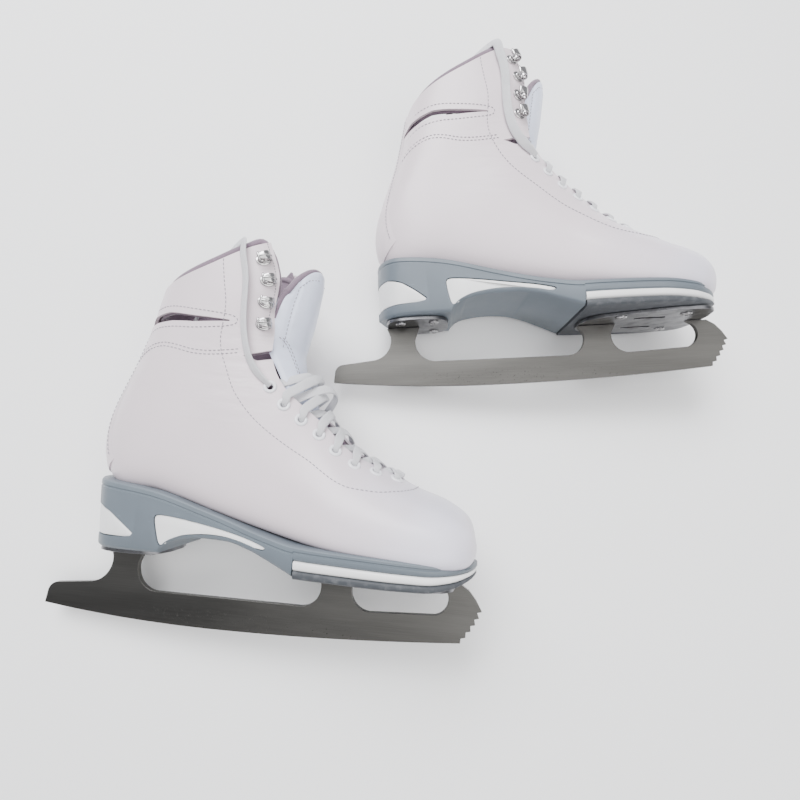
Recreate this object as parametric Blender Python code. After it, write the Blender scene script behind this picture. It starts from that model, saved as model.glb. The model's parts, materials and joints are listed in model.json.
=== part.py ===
"""A pair of leather figure skates, lying on their sides on the floor.

Each skate is drawn in its own frame, in millimetres: X forward to the toe, Z up
from the blade to the collar, Y across, with the inner (medial) side at +Y for the
right skate.  The blade's tail corner is the frame's origin.  The left skate is the
mirror image.  Two empties then lay the skates on their sides.
"""

import math

import bmesh
import bpy
import numpy as np
from mathutils import Euler, Vector

MM = 0.001

# ---- fits and clearances -------------------------------------------------------
FIT = 0.3            # gap between pieces that touch
LAST_GAP = 0.5       # gap between the upper and the sole unit's cup
STEM_GAP = 0.6       # room around a hook's stem in its slot

# ---- blade ---------------------------------------------------------------------
BLADE_THICKNESS = 3.8
EDGE_LENGTH = 308.0          # tail corner to the drag pick
ROCKER_DROP = 7.3            # lowest point of the edge below the tail corner
ROCKER_LOW_X = 130.0
RUNNER_HEIGHT = 15.0
PICK_COUNT = 6
PICK_LEAD = 14.0             # how far the top pick reaches past the drag pick
PICK_RISE = 21.5
PICK_DEPTH = 3.2
HEEL_STANCHION = (49.5, 70.0)    # narrowest stretch of the rear stanchion, along X
SOLE_STANCHION = (209.0, 231.0)
WINDOW_RADIUS = 14.0
TOE_ARM_X = 299.0

# ---- sole unit -----------------------------------------------------------------
HEEL_BACK_X = 41.0
TOE_X = 316.0
HEEL_BOTTOM_Z = 48.0
FORE_BOTTOM_Z = 42.0
BREAST_X = 100.0
WEDGE_START_X = 199.0
TREAD_SHARE = 0.26           # share of the forefoot's thickness in the dark tread
WEDGE_SHARE = 0.30           # and in the white layer above it
PLATE_THICKNESS = 3.0
SOLE_PLATE_X = (205.0, 304.0)
HEEL_PLATE_X = (47.0, 98.0)
SCREW_HEAD_R = 4.0
SCREW_HEAD_H = 1.5
SCREW_SHANK_R = 1.9
SLOT_LENGTH = 24.0
SLOT_WIDTH = 4.6

# ---- boot ----------------------------------------------------------------------
LEATHER = 2.0
INTERLINING = 1.5
LINING = 2.0
LINING_ROLL = 4.0            # lining standing above the leather at the collar
FACING_WIDTH = 18.0
FACING_THICKNESS = 1.2
FACING_SEAT = 0.8            # the strip bridges the grid's folds, so it sits higher
BACKSTAY_HALF = 0.62         # half width of the back strip, in cells of the boot's grid
RINGS_PER_SPAN = 2
CELLS_AROUND = 16
FOOTBED = 3.0
EYELETS = 8
EYELET_PITCH = 16.0
EYELET_R = 4.5
EYELET_HOLE_R = 2.3
EYELET_RISE = 1.3
HOOKS = 4
HOOK_PITCH = 16.0
HOOK_WIDTH = 6.0
STAY_THICKNESS = 0.8
TONGUE_THICKNESS = 9.0
TONGUE_LENGTH = 76.0
TONGUE_HINGE = (183.0, 184.0)
LACE_WIDTH = 7.0
LACE_THICKNESS = 1.5

# ---- how each skate lies: heading, toe lift, top lift, in degrees ----------------
REST = {
    "left": {"mirror": -1, "heading": -4.5, "toe_lift": 7.0, "top_lift": 5.6},
    "right": {"mirror": 1, "heading": 1.1, "toe_lift": 6.0, "top_lift": 5.8},
}
RIGHT_FROM_LEFT = (211.0, 169.0)     # tail corner to tail corner, along X and Y

# Cross-sections of the boot from toe to collar: bottom or back point (x, z), top or
# front point (x, z), half width, shift to the inner side, height share of the widest
# point, squareness below it, squareness above it, sag between back and front.
SECTIONS = (
    ((314.5, 59.0), (315.5, 69.0), 11.0, 12.0, 0.45, 2.2, 2.2, 0.0),
    ((308.0, 53.5), (311.0, 84.0), 27.0, 10.0, 0.42, 3.4, 2.1, 0.0),
    ((291.0, 52.5), (295.0, 95.0), 40.0, 7.0, 0.38, 4.6, 2.0, 0.0),
    ((260.0, 54.0), (268.0, 105.0), 46.5, 2.5, 0.36, 4.6, 1.85, 0.0),
    ((221.0, 57.5), (233.0, 126.5), 45.5, 0.0, 0.36, 4.6, 1.7, 0.0),
    ((182.0, 64.5), (209.0, 157.0), 39.5, -0.5, 0.38, 4.4, 1.7, 0.0),
    ((138.0, 75.0), (190.0, 184.0), 38.0, 0.0, 0.42, 4.0, 1.9, 0.0),
    ((92.0, 86.5), (182.5, 203.0), 37.5, 0.0, 0.44, 3.4, 2.2, 0.0),
    ((52.0, 91.0), (180.5, 219.0), 37.0, 0.0, 0.46, 2.7, 2.6, 0.0),
    ((40.0, 124.0), (179.0, 234.0), 37.5, 0.0, 0.48, 2.5, 2.7, 1.0),
    ((58.0, 182.0), (177.0, 254.0), 39.0, 0.0, 0.50, 2.4, 2.8, 3.0),
    ((70.0, 231.0), (168.0, 278.0), 40.0, 0.0, 0.50, 2.3, 2.6, 4.0),
)
# Half width of the lace opening at each of those sections.
THROAT = {
    "left": (0, 0, 0, 0, 18.0, 22.0, 27.0, 28.0, 27.0, 27.5, 28.5, 29.5),
    "right": (0, 0, 0, 0, 17.0, 20.0, 22.0, 24.0, 24.0, 24.5, 25.0, 25.5),
}


def clear_scene():
    for obj in list(bpy.data.objects):
        bpy.data.objects.remove(obj, do_unlink=True)


# ================================ small helpers ==================================
MATERIALS = {
    "leather": ((0.86, 0.82, 0.87), 0.38, 0.0),
    "lining": ((0.55, 0.48, 0.62), 0.85, 0.0),
    "tongue": ((0.88, 0.86, 0.90), 0.5, 0.0),
    "footbed": ((0.62, 0.60, 0.64), 0.9, 0.0),
    "sole_grey": ((0.24, 0.28, 0.33), 0.42, 0.0),
    "sole_white": ((0.82, 0.83, 0.84), 0.35, 0.0),
    "tread": ((0.10, 0.11, 0.13), 0.5, 0.0),
    "steel": ((0.60, 0.59, 0.57), 0.28, 1.0),
    "plate": ((0.10, 0.10, 0.11), 0.25, 1.0),
    "chrome": ((0.80, 0.80, 0.82), 0.12, 1.0),
    "eyelet": ((0.90, 0.90, 0.91), 0.35, 0.0),
    "lace": ((0.90, 0.90, 0.92), 0.8, 0.0),
}


def material(kind, name):
    """A Principled material of one kind, made for one sub-part."""
    colour, roughness, metallic = MATERIALS[kind]
    mat = bpy.data.materials.new(name)
    mat.use_nodes = True
    shader = mat.node_tree.nodes["Principled BSDF"]
    shader.inputs["Base Color"].default_value = (*colour, 1.0)
    shader.inputs["Roughness"].default_value = roughness
    shader.inputs["Metallic"].default_value = metallic
    return mat


def is_flat(face):
    """Whether a face's corners lie in one plane, to a tenth of a micron."""
    centre = face.calc_center_median()
    return all(abs(face.normal.dot(v.co - centre)) < 1e-7 for v in face.verts)


def face_outward(bm):
    """Turn the faces of every separate body in the mesh outward."""
    bmesh.ops.recalc_face_normals(bm, faces=bm.faces)
    left = set(bm.faces)
    while left:
        body, grow = set(), [next(iter(left))]
        while grow:
            face = grow.pop()
            if face in body:
                continue
            body.add(face)
            grow += [other for edge in face.edges for other in edge.link_faces]
        left -= body
        volume = 0.0
        for face in body:
            first = face.verts[0].co
            for a, b in zip(face.verts[1:-1], face.verts[2:]):
                volume += first.dot(a.co.cross(b.co))
        if volume < 0:
            bmesh.ops.reverse_faces(bm, faces=list(body))


class Skate:
    """Names, mirroring and the parent empty of one skate."""

    def __init__(self, side):
        self.side = side
        self.mirror = REST[side]["mirror"]
        self.root = bpy.data.objects.new(f"{side}_skate", None)
        bpy.context.scene.collection.objects.link(self.root)

    def point(self, p):
        """A point of the right-hand design, in metres in this skate's own frame."""
        return Vector((p[0] * MM, self.mirror * p[1] * MM, p[2] * MM))

    def solid(self, name, points, faces, kind, origin=(0, 0, 0), smooth=35.0):
        """One closed mesh object, from points and faces of the right-hand design."""
        mesh = bpy.data.meshes.new(name)
        mesh.from_pydata([self.point(p) - self.point(origin) for p in points], [], faces)
        bm = bmesh.new()
        bm.from_mesh(mesh)
        bmesh.ops.remove_doubles(bm, verts=bm.verts, dist=0.02 * MM)
        bm.normal_update()
        warped = [f for f in bm.faces if len(f.verts) > 3 and not is_flat(f)]
        bmesh.ops.triangulate(bm, faces=warped)
        face_outward(bm)
        bm.to_mesh(mesh)
        bm.free()
        mesh.shade_smooth()
        mesh.set_sharp_from_angle(angle=math.radians(smooth))
        obj = bpy.data.objects.new(f"{self.side}_{name}", mesh)
        bpy.context.scene.collection.objects.link(obj)
        obj.parent = self.root
        obj.location = self.point(origin)
        if kind:
            mesh.materials.append(material(kind, f"{self.side}_{name}"))
        return obj

    def cutter(self, name, points, faces):
        obj = self.solid(name, points, faces, None)
        obj.hide_render = True
        obj.display_type = "WIRE"
        return obj

    def boolean(self, obj, other, operation):
        mod = obj.modifiers.new(other.name, "BOOLEAN")
        mod.solver = "EXACT"
        mod.operation = operation
        mod.object = other


def spline(knots, x):
    """A smooth height through a few (x, value) knots, with flat-limited slopes."""
    xs = np.array([k[0] for k in knots], float)
    ys = np.array([k[1] for k in knots], float)
    steps = np.diff(ys) / np.diff(xs)
    slopes = np.zeros(len(xs))
    slopes[0], slopes[-1] = steps[0], steps[-1]
    for i in range(1, len(xs) - 1):
        if steps[i - 1] * steps[i] > 0:
            slopes[i] = 2.0 / (1.0 / steps[i - 1] + 1.0 / steps[i])
    i = int(np.clip(np.searchsorted(xs, x) - 1, 0, len(xs) - 2))
    h = xs[i + 1] - xs[i]
    t = float(np.clip((x - xs[i]) / h, 0.0, 1.0))
    a = (1 + 2 * t) * (1 - t) ** 2 * ys[i] + t * (1 - t) ** 2 * h * slopes[i]
    b = t * t * (3 - 2 * t) * ys[i + 1] + t * t * (t - 1) * h * slopes[i + 1]
    return a + b


def catmull(rows, t):
    """The rows' values at t, where whole numbers are the rows themselves."""
    rows = np.asarray(rows, float)
    i = min(int(t), len(rows) - 2)
    f = t - i
    a = rows[max(i - 1, 0)]
    b, c = rows[i], rows[i + 1]
    d = rows[min(i + 2, len(rows) - 1)]
    return 0.5 * (
        2 * b + (c - a) * f + (2 * a - 5 * b + 4 * c - d) * f**2 + (3 * b - a - 3 * c + d) * f**3
    )


def arc(centre, radius, start, end, steps):
    """Points on an arc, angles in degrees."""
    out = []
    for k in range(steps + 1):
        angle = math.radians(start + (end - start) * k / steps)
        out.append((centre[0] + radius * math.cos(angle), centre[1] + radius * math.sin(angle)))
    return out


def prism(outline, axis, low, high):
    """Points and faces of an outline extruded along Y (axis 1) or Z (axis 2)."""
    n = len(outline)
    points = []
    for level in (low, high):
        for u, v in outline:
            points.append((u, level, v) if axis == 1 else (u, v, level))
    faces = [tuple(range(n)), tuple(range(2 * n - 1, n - 1, -1))]
    faces += [(k, (k + 1) % n, n + (k + 1) % n, n + k) for k in range(n)]
    return points, faces


def loft(rings):
    """Points and faces of closed rings joined in order, capped at both ends."""
    n = len(rings[0])
    points = [p for ring in rings for p in ring]
    faces = [tuple(range(n)), tuple(range(len(points) - 1, len(points) - n - 1, -1))]
    for i in range(len(rings) - 1):
        for j in range(n):
            k = (j + 1) % n
            faces.append((i * n + j, i * n + k, (i + 1) * n + k, (i + 1) * n + j))
    return points, faces


def sheet(outer, inner):
    """Points and faces of the closed slab between two grids of points."""
    rows, cols = outer.shape[:2]
    size = rows * cols
    points = [tuple(p) for p in outer.reshape(-1, 3)] + [tuple(p) for p in inner.reshape(-1, 3)]
    faces = []
    for i in range(rows - 1):
        for j in range(cols - 1):
            a, b = i * cols + j, (i + 1) * cols + j
            faces.append((a, a + 1, b + 1, b))
            faces.append((size + b, size + b + 1, size + a + 1, size + a))
    edge = [(0, j) for j in range(cols)]
    edge += [(i, cols - 1) for i in range(1, rows)]
    edge += [(rows - 1, j) for j in range(cols - 2, -1, -1)]
    edge += [(i, 0) for i in range(rows - 2, 0, -1)]
    ids = [i * cols + j for i, j in edge]
    for k, a in enumerate(ids):
        b = ids[(k + 1) % len(ids)]
        faces.append((b, a, size + a, size + b))
    return points, faces


def merged(parts):
    """Several closed shapes as one list of points and faces."""
    points, faces = [], []
    for pts, fcs in parts:
        start = len(points)
        points += list(pts)
        faces += [tuple(start + v for v in face) for face in fcs]
    return points, faces


# ================================== the boot ====================================
def section_point(row, a):
    """A point on one cross-section: a is 0 at the bottom, -1 and 1 at the top."""
    bx, bz, tx, tz, half, shift, share, low, high, sag = row
    bottom, top = np.array((bx, bz)), np.array((tx, tz))
    length = np.linalg.norm(top - bottom)
    along = (top - bottom) / length
    part = min(abs(a), 1.0)
    if part <= 0.5:
        turn = part * math.pi
        y = half * math.sin(turn) ** (2 / low)
        u = share * length * (1 - math.cos(turn) ** (2 / low))
    else:
        turn = (part - 0.5) * math.pi
        y = half * max(math.cos(turn), 0.0) ** (2 / high)
        u = share * length + (1 - share) * length * math.sin(turn) ** (2 / high)
    x, z = bottom + along * u
    z -= sag * math.sin(math.pi * min(u / length, 1.0)) ** 1.5
    return np.array((x, math.copysign(y, a) + shift * min(1.0, y / half + 0.3), z))


class Last:
    """The boot's outer surface as a grid of points with outward normals."""

    def __init__(self, side):
        rows = [(*b, *t, *rest) for b, t, *rest in SECTIONS]
        self.count = (len(rows) - 1) * RINGS_PER_SPAN + 1
        opening = [[w] for w in THROAT[side]]
        rings = []
        self.open = []
        for i in range(self.count):
            t = i / RINGS_PER_SPAN
            row = catmull(rows, t)
            gap = max(float(catmull(opening, t)[0]), 0.0)
            if gap < 1.0:
                gap = 0.0
            self.open.append(gap > 0.0)
            rings.append(self.ring(row, gap))
        self.points = np.array(rings)
        self.normals = self.outward()

    def ring(self, row, gap):
        """Points along one section, from the inner side's throat edge to the outer's."""
        half, high = row[4], row[8]
        end = 0.5 + math.acos(min(gap / half, 1.0) ** (high / 2)) / math.pi
        dense = np.array([section_point(row, a) for a in np.linspace(end, -end, 241)])
        run = np.concatenate([[0], np.cumsum(np.linalg.norm(np.diff(dense, axis=0), axis=1))])
        inner = np.linspace(FACING_WIDTH, run[-1] - FACING_WIDTH, CELLS_AROUND - 1)
        if run[-1] < 3 * FACING_WIDTH:
            inner = np.linspace(0, run[-1], CELLS_AROUND + 1)[1:-1]
        stops = np.concatenate([[0], inner, [run[-1]]])
        return np.stack([np.interp(stops, run, dense[:, k]) for k in range(3)], 1)

    def outward(self):
        p = self.points
        along = np.gradient(p, axis=0)
        around = np.gradient(p, axis=1)
        n = np.cross(along, around)
        centre = p.mean(axis=1, keepdims=True)
        flip = np.sum(n * (p - centre), axis=2, keepdims=True) < 0
        n = np.where(flip, -n, n)
        n /= np.linalg.norm(n, axis=2, keepdims=True)
        # The toe's end face moves mostly along X, so an offset never folds it over.
        spread = p[0] - centre[0]
        spread /= np.linalg.norm(spread, axis=1, keepdims=True)
        n[0] = np.array((0.9, 0.0, 0.0)) + 0.44 * spread
        for i in range(self.count):
            if not self.open[i]:
                joint = n[i, 0] + n[i, -1]
                n[i, 0] = n[i, -1] = joint / np.linalg.norm(joint)
        return n

    def offset(self, rise):
        """The grid moved outward by rise."""
        return self.points + self.normals * rise

    def at(self, i, j, rise=0.0):
        """A point of the moved grid at fractional ring i and cell j."""
        grid = self.offset(rise)
        i0, j0 = min(int(i), self.count - 2), min(max(int(j), 0), CELLS_AROUND - 1)
        fi, fj = i - i0, j - j0
        low = grid[i0, j0] * (1 - fj) + grid[i0, j0 + 1] * fj
        high = grid[i0 + 1, j0] * (1 - fj) + grid[i0 + 1, j0 + 1] * fj
        return low * (1 - fi) + high * fi

    def frame(self, i, j, rise=0.0):
        """Point, normal, direction towards the collar and direction across, at (i, j)."""
        here = self.at(i, j, rise)
        up = self.at(min(i + 0.3, self.count - 1), j, rise) - self.at(max(i - 0.3, 0), j, rise)
        side = self.at(i, min(j + 0.3, CELLS_AROUND), rise) - self.at(i, max(j - 0.3, 0), rise)
        up /= np.linalg.norm(up)
        normal = np.cross(up, side)
        normal /= np.linalg.norm(normal)
        if np.dot(normal, self.at(i, j, rise + 1.0) - here) < 0:
            normal = -normal
        return here, normal, up, np.cross(normal, up)

    def strip(self, rows, columns, top, bottom):
        """Slab between two rises over the given rings and cells."""
        outer = np.array([[self.at(i, j, top) for j in columns] for i in rows])
        inner = np.array([[self.at(i, j, bottom) for j in columns] for i in rows])
        return sheet(outer, inner)

    def along_edge(self, j, start, pitch, count, rise):
        """Ring numbers of points spaced by pitch along cell line j, from ring start down."""
        steps = np.linspace(start, 0, 400)
        line = np.array([self.at(i, j, rise) for i in steps])
        run = np.concatenate([[0], np.cumsum(np.linalg.norm(np.diff(line, axis=0), axis=1))])
        return [float(np.interp(k * pitch, run, steps)) for k in range(count)]


def tube_shell(outer, inner, opened, capped):
    """A bent sleeve between two grids, open at the throat where the rings are open."""
    rows, cols = outer.shape[:2]
    size = rows * cols
    points = [tuple(p) for p in outer.reshape(-1, 3)] + [tuple(p) for p in inner.reshape(-1, 3)]
    faces = []
    for i in range(rows - 1):
        for j in range(cols - 1):
            a, b = i * cols + j, (i + 1) * cols + j
            faces.append((a, a + 1, b + 1, b))
            faces.append((size + b, size + b + 1, size + a + 1, size + a))
        if opened[i] or opened[i + 1]:
            for j in (0, cols - 1):
                a, b = i * cols + j, (i + 1) * cols + j
                faces.append((a, b, size + b, size + a))
    last = (rows - 1) * cols
    for j in range(cols - 1):
        faces.append((last + j, last + j + 1, size + last + j + 1, size + last + j))
    if capped:
        faces.append(tuple(range(cols - 1)))
        faces.append(tuple(size + j for j in range(cols - 2, -1, -1)))
    else:
        for j in range(cols - 1):
            faces.append((j, j + 1, size + j + 1, size + j))
    return points, faces


SLIT_TOP = ((64.0, 206.0), (74.0, 213.5), (92.0, 215.5), (112.0, 213.0), (137.0, 211.0))
SLIT_BOTTOM = ((64.0, 204.5), (80.0, 208.0), (95.0, 209.0), (112.0, 208.5), (137.0, 210.0))
NOTCH = ((148.0, 186.5), (158.0, 189.5), (200.0, 204.0), (200.0, 194.0), (158.0, 183.5))
LINING_FIRST = 8
FLAP_TOP_RING = 21.0


def hook_rings(last):
    return last.along_edge(0.5, FLAP_TOP_RING, HOOK_PITCH, HOOKS, 0.0)


def eyelet_rings(last):
    """Ring numbers of the eyelets, top one first, below the notch under the hook flap."""
    return last.along_edge(0.5, 12.9, EYELET_PITCH, EYELETS, FACING_THICKNESS)


def make_upper(skate, last):
    inner = last.offset(-LEATHER)
    points, faces = tube_shell(last.offset(0.0), inner, last.open, True)
    upper = skate.solid("upper", points, faces, "leather")
    lining_outer = -(LEATHER + INTERLINING)
    outer = last.offset(lining_outer)[LINING_FIRST:]
    inner = last.offset(lining_outer - LINING)[LINING_FIRST:]
    for grid in (outer, inner):
        rise = grid[-1] - grid[-2]
        rise /= np.linalg.norm(rise, axis=1, keepdims=True)
        grid[-1] += rise * LINING_ROLL
    points, faces = tube_shell(outer, inner, last.open[LINING_FIRST:], False)
    lining = skate.solid("lining", points, faces, "lining")
    slit = list(SLIT_TOP) + list(reversed(SLIT_BOTTOM))
    reach = 80.0
    cut = merged([prism(slit, 1, -reach, reach), prism(NOTCH, 1, -reach, reach)])
    slits = skate.cutter("slit_cutter", *cut)
    skate.boolean(upper, slits, "DIFFERENCE")
    skate.boolean(lining, slits, "DIFFERENCE")
    return upper, lining


def make_backstay(skate, last):
    middle = CELLS_AROUND / 2
    columns = [middle - BACKSTAY_HALF, middle, middle + BACKSTAY_HALF]
    rows = [i for i in range(17, last.count)]
    shape = last.strip(rows, columns, FIT + 1.0, FIT)
    skate.solid("backstay", *shape, "leather")


def make_footbed(skate, last):
    middle = CELLS_AROUND // 2
    columns = [middle + k for k in (-2, -1, 0, 1, 2)]
    rows = range(5, 16)
    top = -(LEATHER + INTERLINING + LINING + FIT)
    shape = last.strip(rows, columns, top, top - FOOTBED)
    skate.solid("footbed", *shape, "footbed")


def ring_shape(here, normal, up, across, radii, levels, sides=8):
    """A short ring standing on a surface: outer and inner radius, low and high level."""
    loops = []
    for radius, level in (
        (radii[0], levels[0]),
        (radii[0] - 0.5, levels[1]),
        (radii[1], levels[1] - 0.3),
        (radii[1], levels[0]),
    ):
        loop = []
        for k in range(sides):
            turn = 2 * math.pi * k / sides
            offset = up * math.cos(turn) + across * math.sin(turn)
            loop.append(here + normal * level + offset * radius)
        loops.append(loop)
    points = [tuple(p) for loop in loops for p in loop]
    faces = []
    for i in range(len(loops)):
        low, high = i * sides, ((i + 1) % len(loops)) * sides
        for j in range(sides):
            k = (j + 1) % sides
            faces.append((low + j, low + k, high + k, high + j))
    return points, faces


def cell_columns(side_sign, low, high):
    """Two cell numbers at the throat edge of one side: +1 inner, -1 outer side."""
    return (low, high) if side_sign > 0 else (CELLS_AROUND - low, CELLS_AROUND - high)


def make_facing(skate, last, side_sign, name):
    """Eyelet facing: a strip along the throat edge with its row of eyelets."""
    rings = eyelet_rings(last)
    columns = cell_columns(side_sign, 0.04, 0.96)
    first, end = max(rings[-1] - 0.55, 6.3), rings[0] + 0.55
    rows = [first] + [float(i) for i in range(math.ceil(first + 0.1), math.ceil(end - 0.1))] + [end]
    gap = FACING_SEAT
    points, faces = last.strip(rows, columns, gap + FACING_THICKNESS, gap)
    facing = skate.solid(name, points, faces, "eyelet")
    shapes = []
    centre = cell_columns(side_sign, 0.5, 0.5)[0]
    for i in rings:
        frame = last.frame(i, centre, gap + FACING_THICKNESS)
        shapes.append(ring_shape(*frame, (EYELET_R, EYELET_HOLE_R), (-0.6, EYELET_RISE)))
    rings_solid = skate.cutter(f"{name}_rings", *merged(shapes))
    skate.boolean(facing, rings_solid, "UNION")


HOOK_PROFILE = (
    (-1.4, -3.0), (1.4, -3.0), (1.4, 0.5), (4.6, 0.5), (4.6, 3.6), (3.2, 7.0), (-0.6, 8.0),
    (-4.6, 6.4), (-3.6, 5.2), (-0.4, 6.6), (2.4, 5.6), (3.2, 3.8), (1.8, 1.6), (-4.6, 1.5),
    (-4.6, 0.5), (-1.4, 0.5),
)


def hook_shape(here, normal, up, away):
    """One lace hook: stem, base flange and curled tongue, away from the throat."""
    points = []
    for half in (-HOOK_WIDTH / 2, HOOK_WIDTH / 2):
        for u, v in HOOK_PROFILE:
            points.append(tuple(here - away * u + normal * v + up * half))
    n = len(HOOK_PROFILE)
    faces = [tuple(range(n)), tuple(range(2 * n - 1, n - 1, -1))]
    faces += [(k, (k + 1) % n, n + (k + 1) % n, n + k) for k in range(n)]
    return points, faces


def box_shape(here, normal, up, away, sizes, low, high):
    points = []
    for level in (low, high):
        for a, b in ((-1, -1), (1, -1), (1, 1), (-1, 1)):
            corner = here + away * a * sizes[0] / 2 + up * b * sizes[1] / 2 + normal * level
            points.append(tuple(corner))
    faces = [(0, 1, 2, 3), (7, 6, 5, 4)]
    faces += [(k, (k + 1) % 4, 4 + (k + 1) % 4, 4 + k) for k in range(4)]
    return points, faces


def make_hooks(skate, last, upper, side_sign, name):
    """Four lace hooks riveted to one hidden stay between the leather and the lining."""
    rings = hook_rings(last)
    columns = cell_columns(side_sign, 0.3, 0.7)
    rows = [rings[-1] - 0.5] + [float(i) for i in range(math.ceil(rings[-1] - 0.4), 22)]
    rows = [r for r in rows if r <= rings[0] + 0.5] + [rings[0] + 0.5]
    depth = LEATHER + FIT
    stay = last.strip(rows, columns, -depth, -depth - STAY_THICKNESS)
    hooks = skate.solid(name, *stay, "chrome")
    shapes, slots = [], []
    centre = cell_columns(side_sign, 0.5, 0.5)[0]
    for i in rings:
        here, normal, up, across = last.frame(i, centre)
        away = across if np.dot(across, last.at(i, centre) - last.at(i, columns[1])) < 0 else -across
        shapes.append(hook_shape(here, normal, up, away))
        sizes = (2.8 + 2 * STEM_GAP, HOOK_WIDTH + 2 * STEM_GAP)
        slots.append(box_shape(here, normal, up, away, sizes, -LEATHER - 2.0, 4.0))
    skate.boolean(hooks, skate.cutter(f"{name}_set", *merged(shapes)), "UNION")
    skate.boolean(upper, skate.cutter(f"{name}_slots", *merged(slots)), "DIFFERENCE")


# =================================== tongue =====================================
TONGUE_LEAN = {"left": 2.0, "right": 3.0}
TONGUE_TUCK = 5.2            # how far the tongue stays inside the throat's edges
# Centre line of the tongue's front face from the vamp up to the hinge (x, z).
TONGUE_LINE = (
    (240.0, 102.0), (228.0, 111.0), (211.0, 130.5), (197.5, 152.0), (188.0, 171.0), (184.2, 180.5),
)


def throat_half(last, x, z):
    """Half width of the throat at the ring whose edges lie nearest to (x, z)."""
    spans = last.points[:, 0] - last.points[:, -1]
    middles = (last.points[:, 0] + last.points[:, -1]) / 2
    away = np.hypot(middles[:, 0] - x, middles[:, 2] - z)
    return float(abs(spans[int(np.argmin(away))][1])) / 2


def make_tongue(skate, last):
    """Lower tongue under the laces, and the padded upper tongue on its fold line."""
    columns = np.linspace(-1, 1, 5)
    outer, inner = [], []
    line = np.array(TONGUE_LINE)
    for k, (x, z) in enumerate(line):
        step = line[min(k + 1, len(line) - 1)] - line[max(k - 1, 0)]
        step /= np.linalg.norm(step)
        nx, nz = step[1], -step[0]
        half = max(throat_half(last, x, z) - TONGUE_TUCK, 4.0)
        row_out, row_in = [], []
        for c in columns:
            drop = 10.0 * abs(c) ** 2.2
            row_out.append((x - nx * drop, c * half, z - nz * drop))
            row_in.append((x - nx * (drop + 3.5), c * half, z - nz * (drop + 3.5)))
        outer.append(row_out)
        inner.append(row_in)
    skate.solid("tongue_lower", *sheet(np.array(outer), np.array(inner)), "tongue")

    lean = math.radians(TONGUE_LEAN[skate.side])
    hinge = (TONGUE_HINGE[0], 0.0, TONGUE_HINGE[1])
    half_max = throat_half(last, *TONGUE_LINE[-1]) - (0.0 if skate.side == "left" else 2.0)
    rows, cols = 7, 7
    outer = np.zeros((rows, cols, 3))
    inner = np.zeros((rows, cols, 3))
    for r in range(rows):
        f = r / (rows - 1)
        for c in range(cols):
            s = -1 + 2 * c / (cols - 1)
            corner = 1.0 - 0.30 * max(0.0, f - 0.6) / 0.4 * abs(s) ** 3
            up = TONGUE_LENGTH * f * corner
            half = half_max * (0.86 + 0.14 * math.sin(math.pi * min(f * 1.25, 1.0)))
            bow = 7.0 * f * math.sin(f * math.pi * 0.62) - 2.0
            wrap = 7.5 * abs(s) ** 2.2
            pad = TONGUE_THICKNESS * (0.45 + 0.55 * math.sin(math.pi * (0.15 + 0.7 * f)))
            pad *= 1.0 - 0.45 * abs(s) ** 3
            for grid, back in ((outer, 0.0), (inner, pad)):
                x = bow - wrap - back
                z = up + 0.6
                grid[r, c] = (
                    hinge[0] + x * math.cos(lean) + z * math.sin(lean),
                    s * half,
                    hinge[2] - x * math.sin(lean) + z * math.cos(lean),
                )
    skate.solid("tongue_upper", *sheet(outer, inner), "tongue", origin=hinge, smooth=60)


# ==================================== laces =====================================
def ribbon(path, ups, widths, thickness):
    """Closed flat band swept along a path, its flat side facing ups."""
    rings = []
    for k, p in enumerate(path):
        step = path[min(k + 1, len(path) - 1)] - path[max(k - 1, 0)]
        step /= np.linalg.norm(step)
        across = np.cross(step, ups[k])
        across /= np.linalg.norm(across)
        up = np.cross(across, step)
        rings.append([
            tuple(p + across * a * widths[k] / 2 + up * b * thickness / 2)
            for a, b in ((-1, -1), (1, -1), (1, 1), (-1, 1))
        ])
    return loft(rings)


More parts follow.
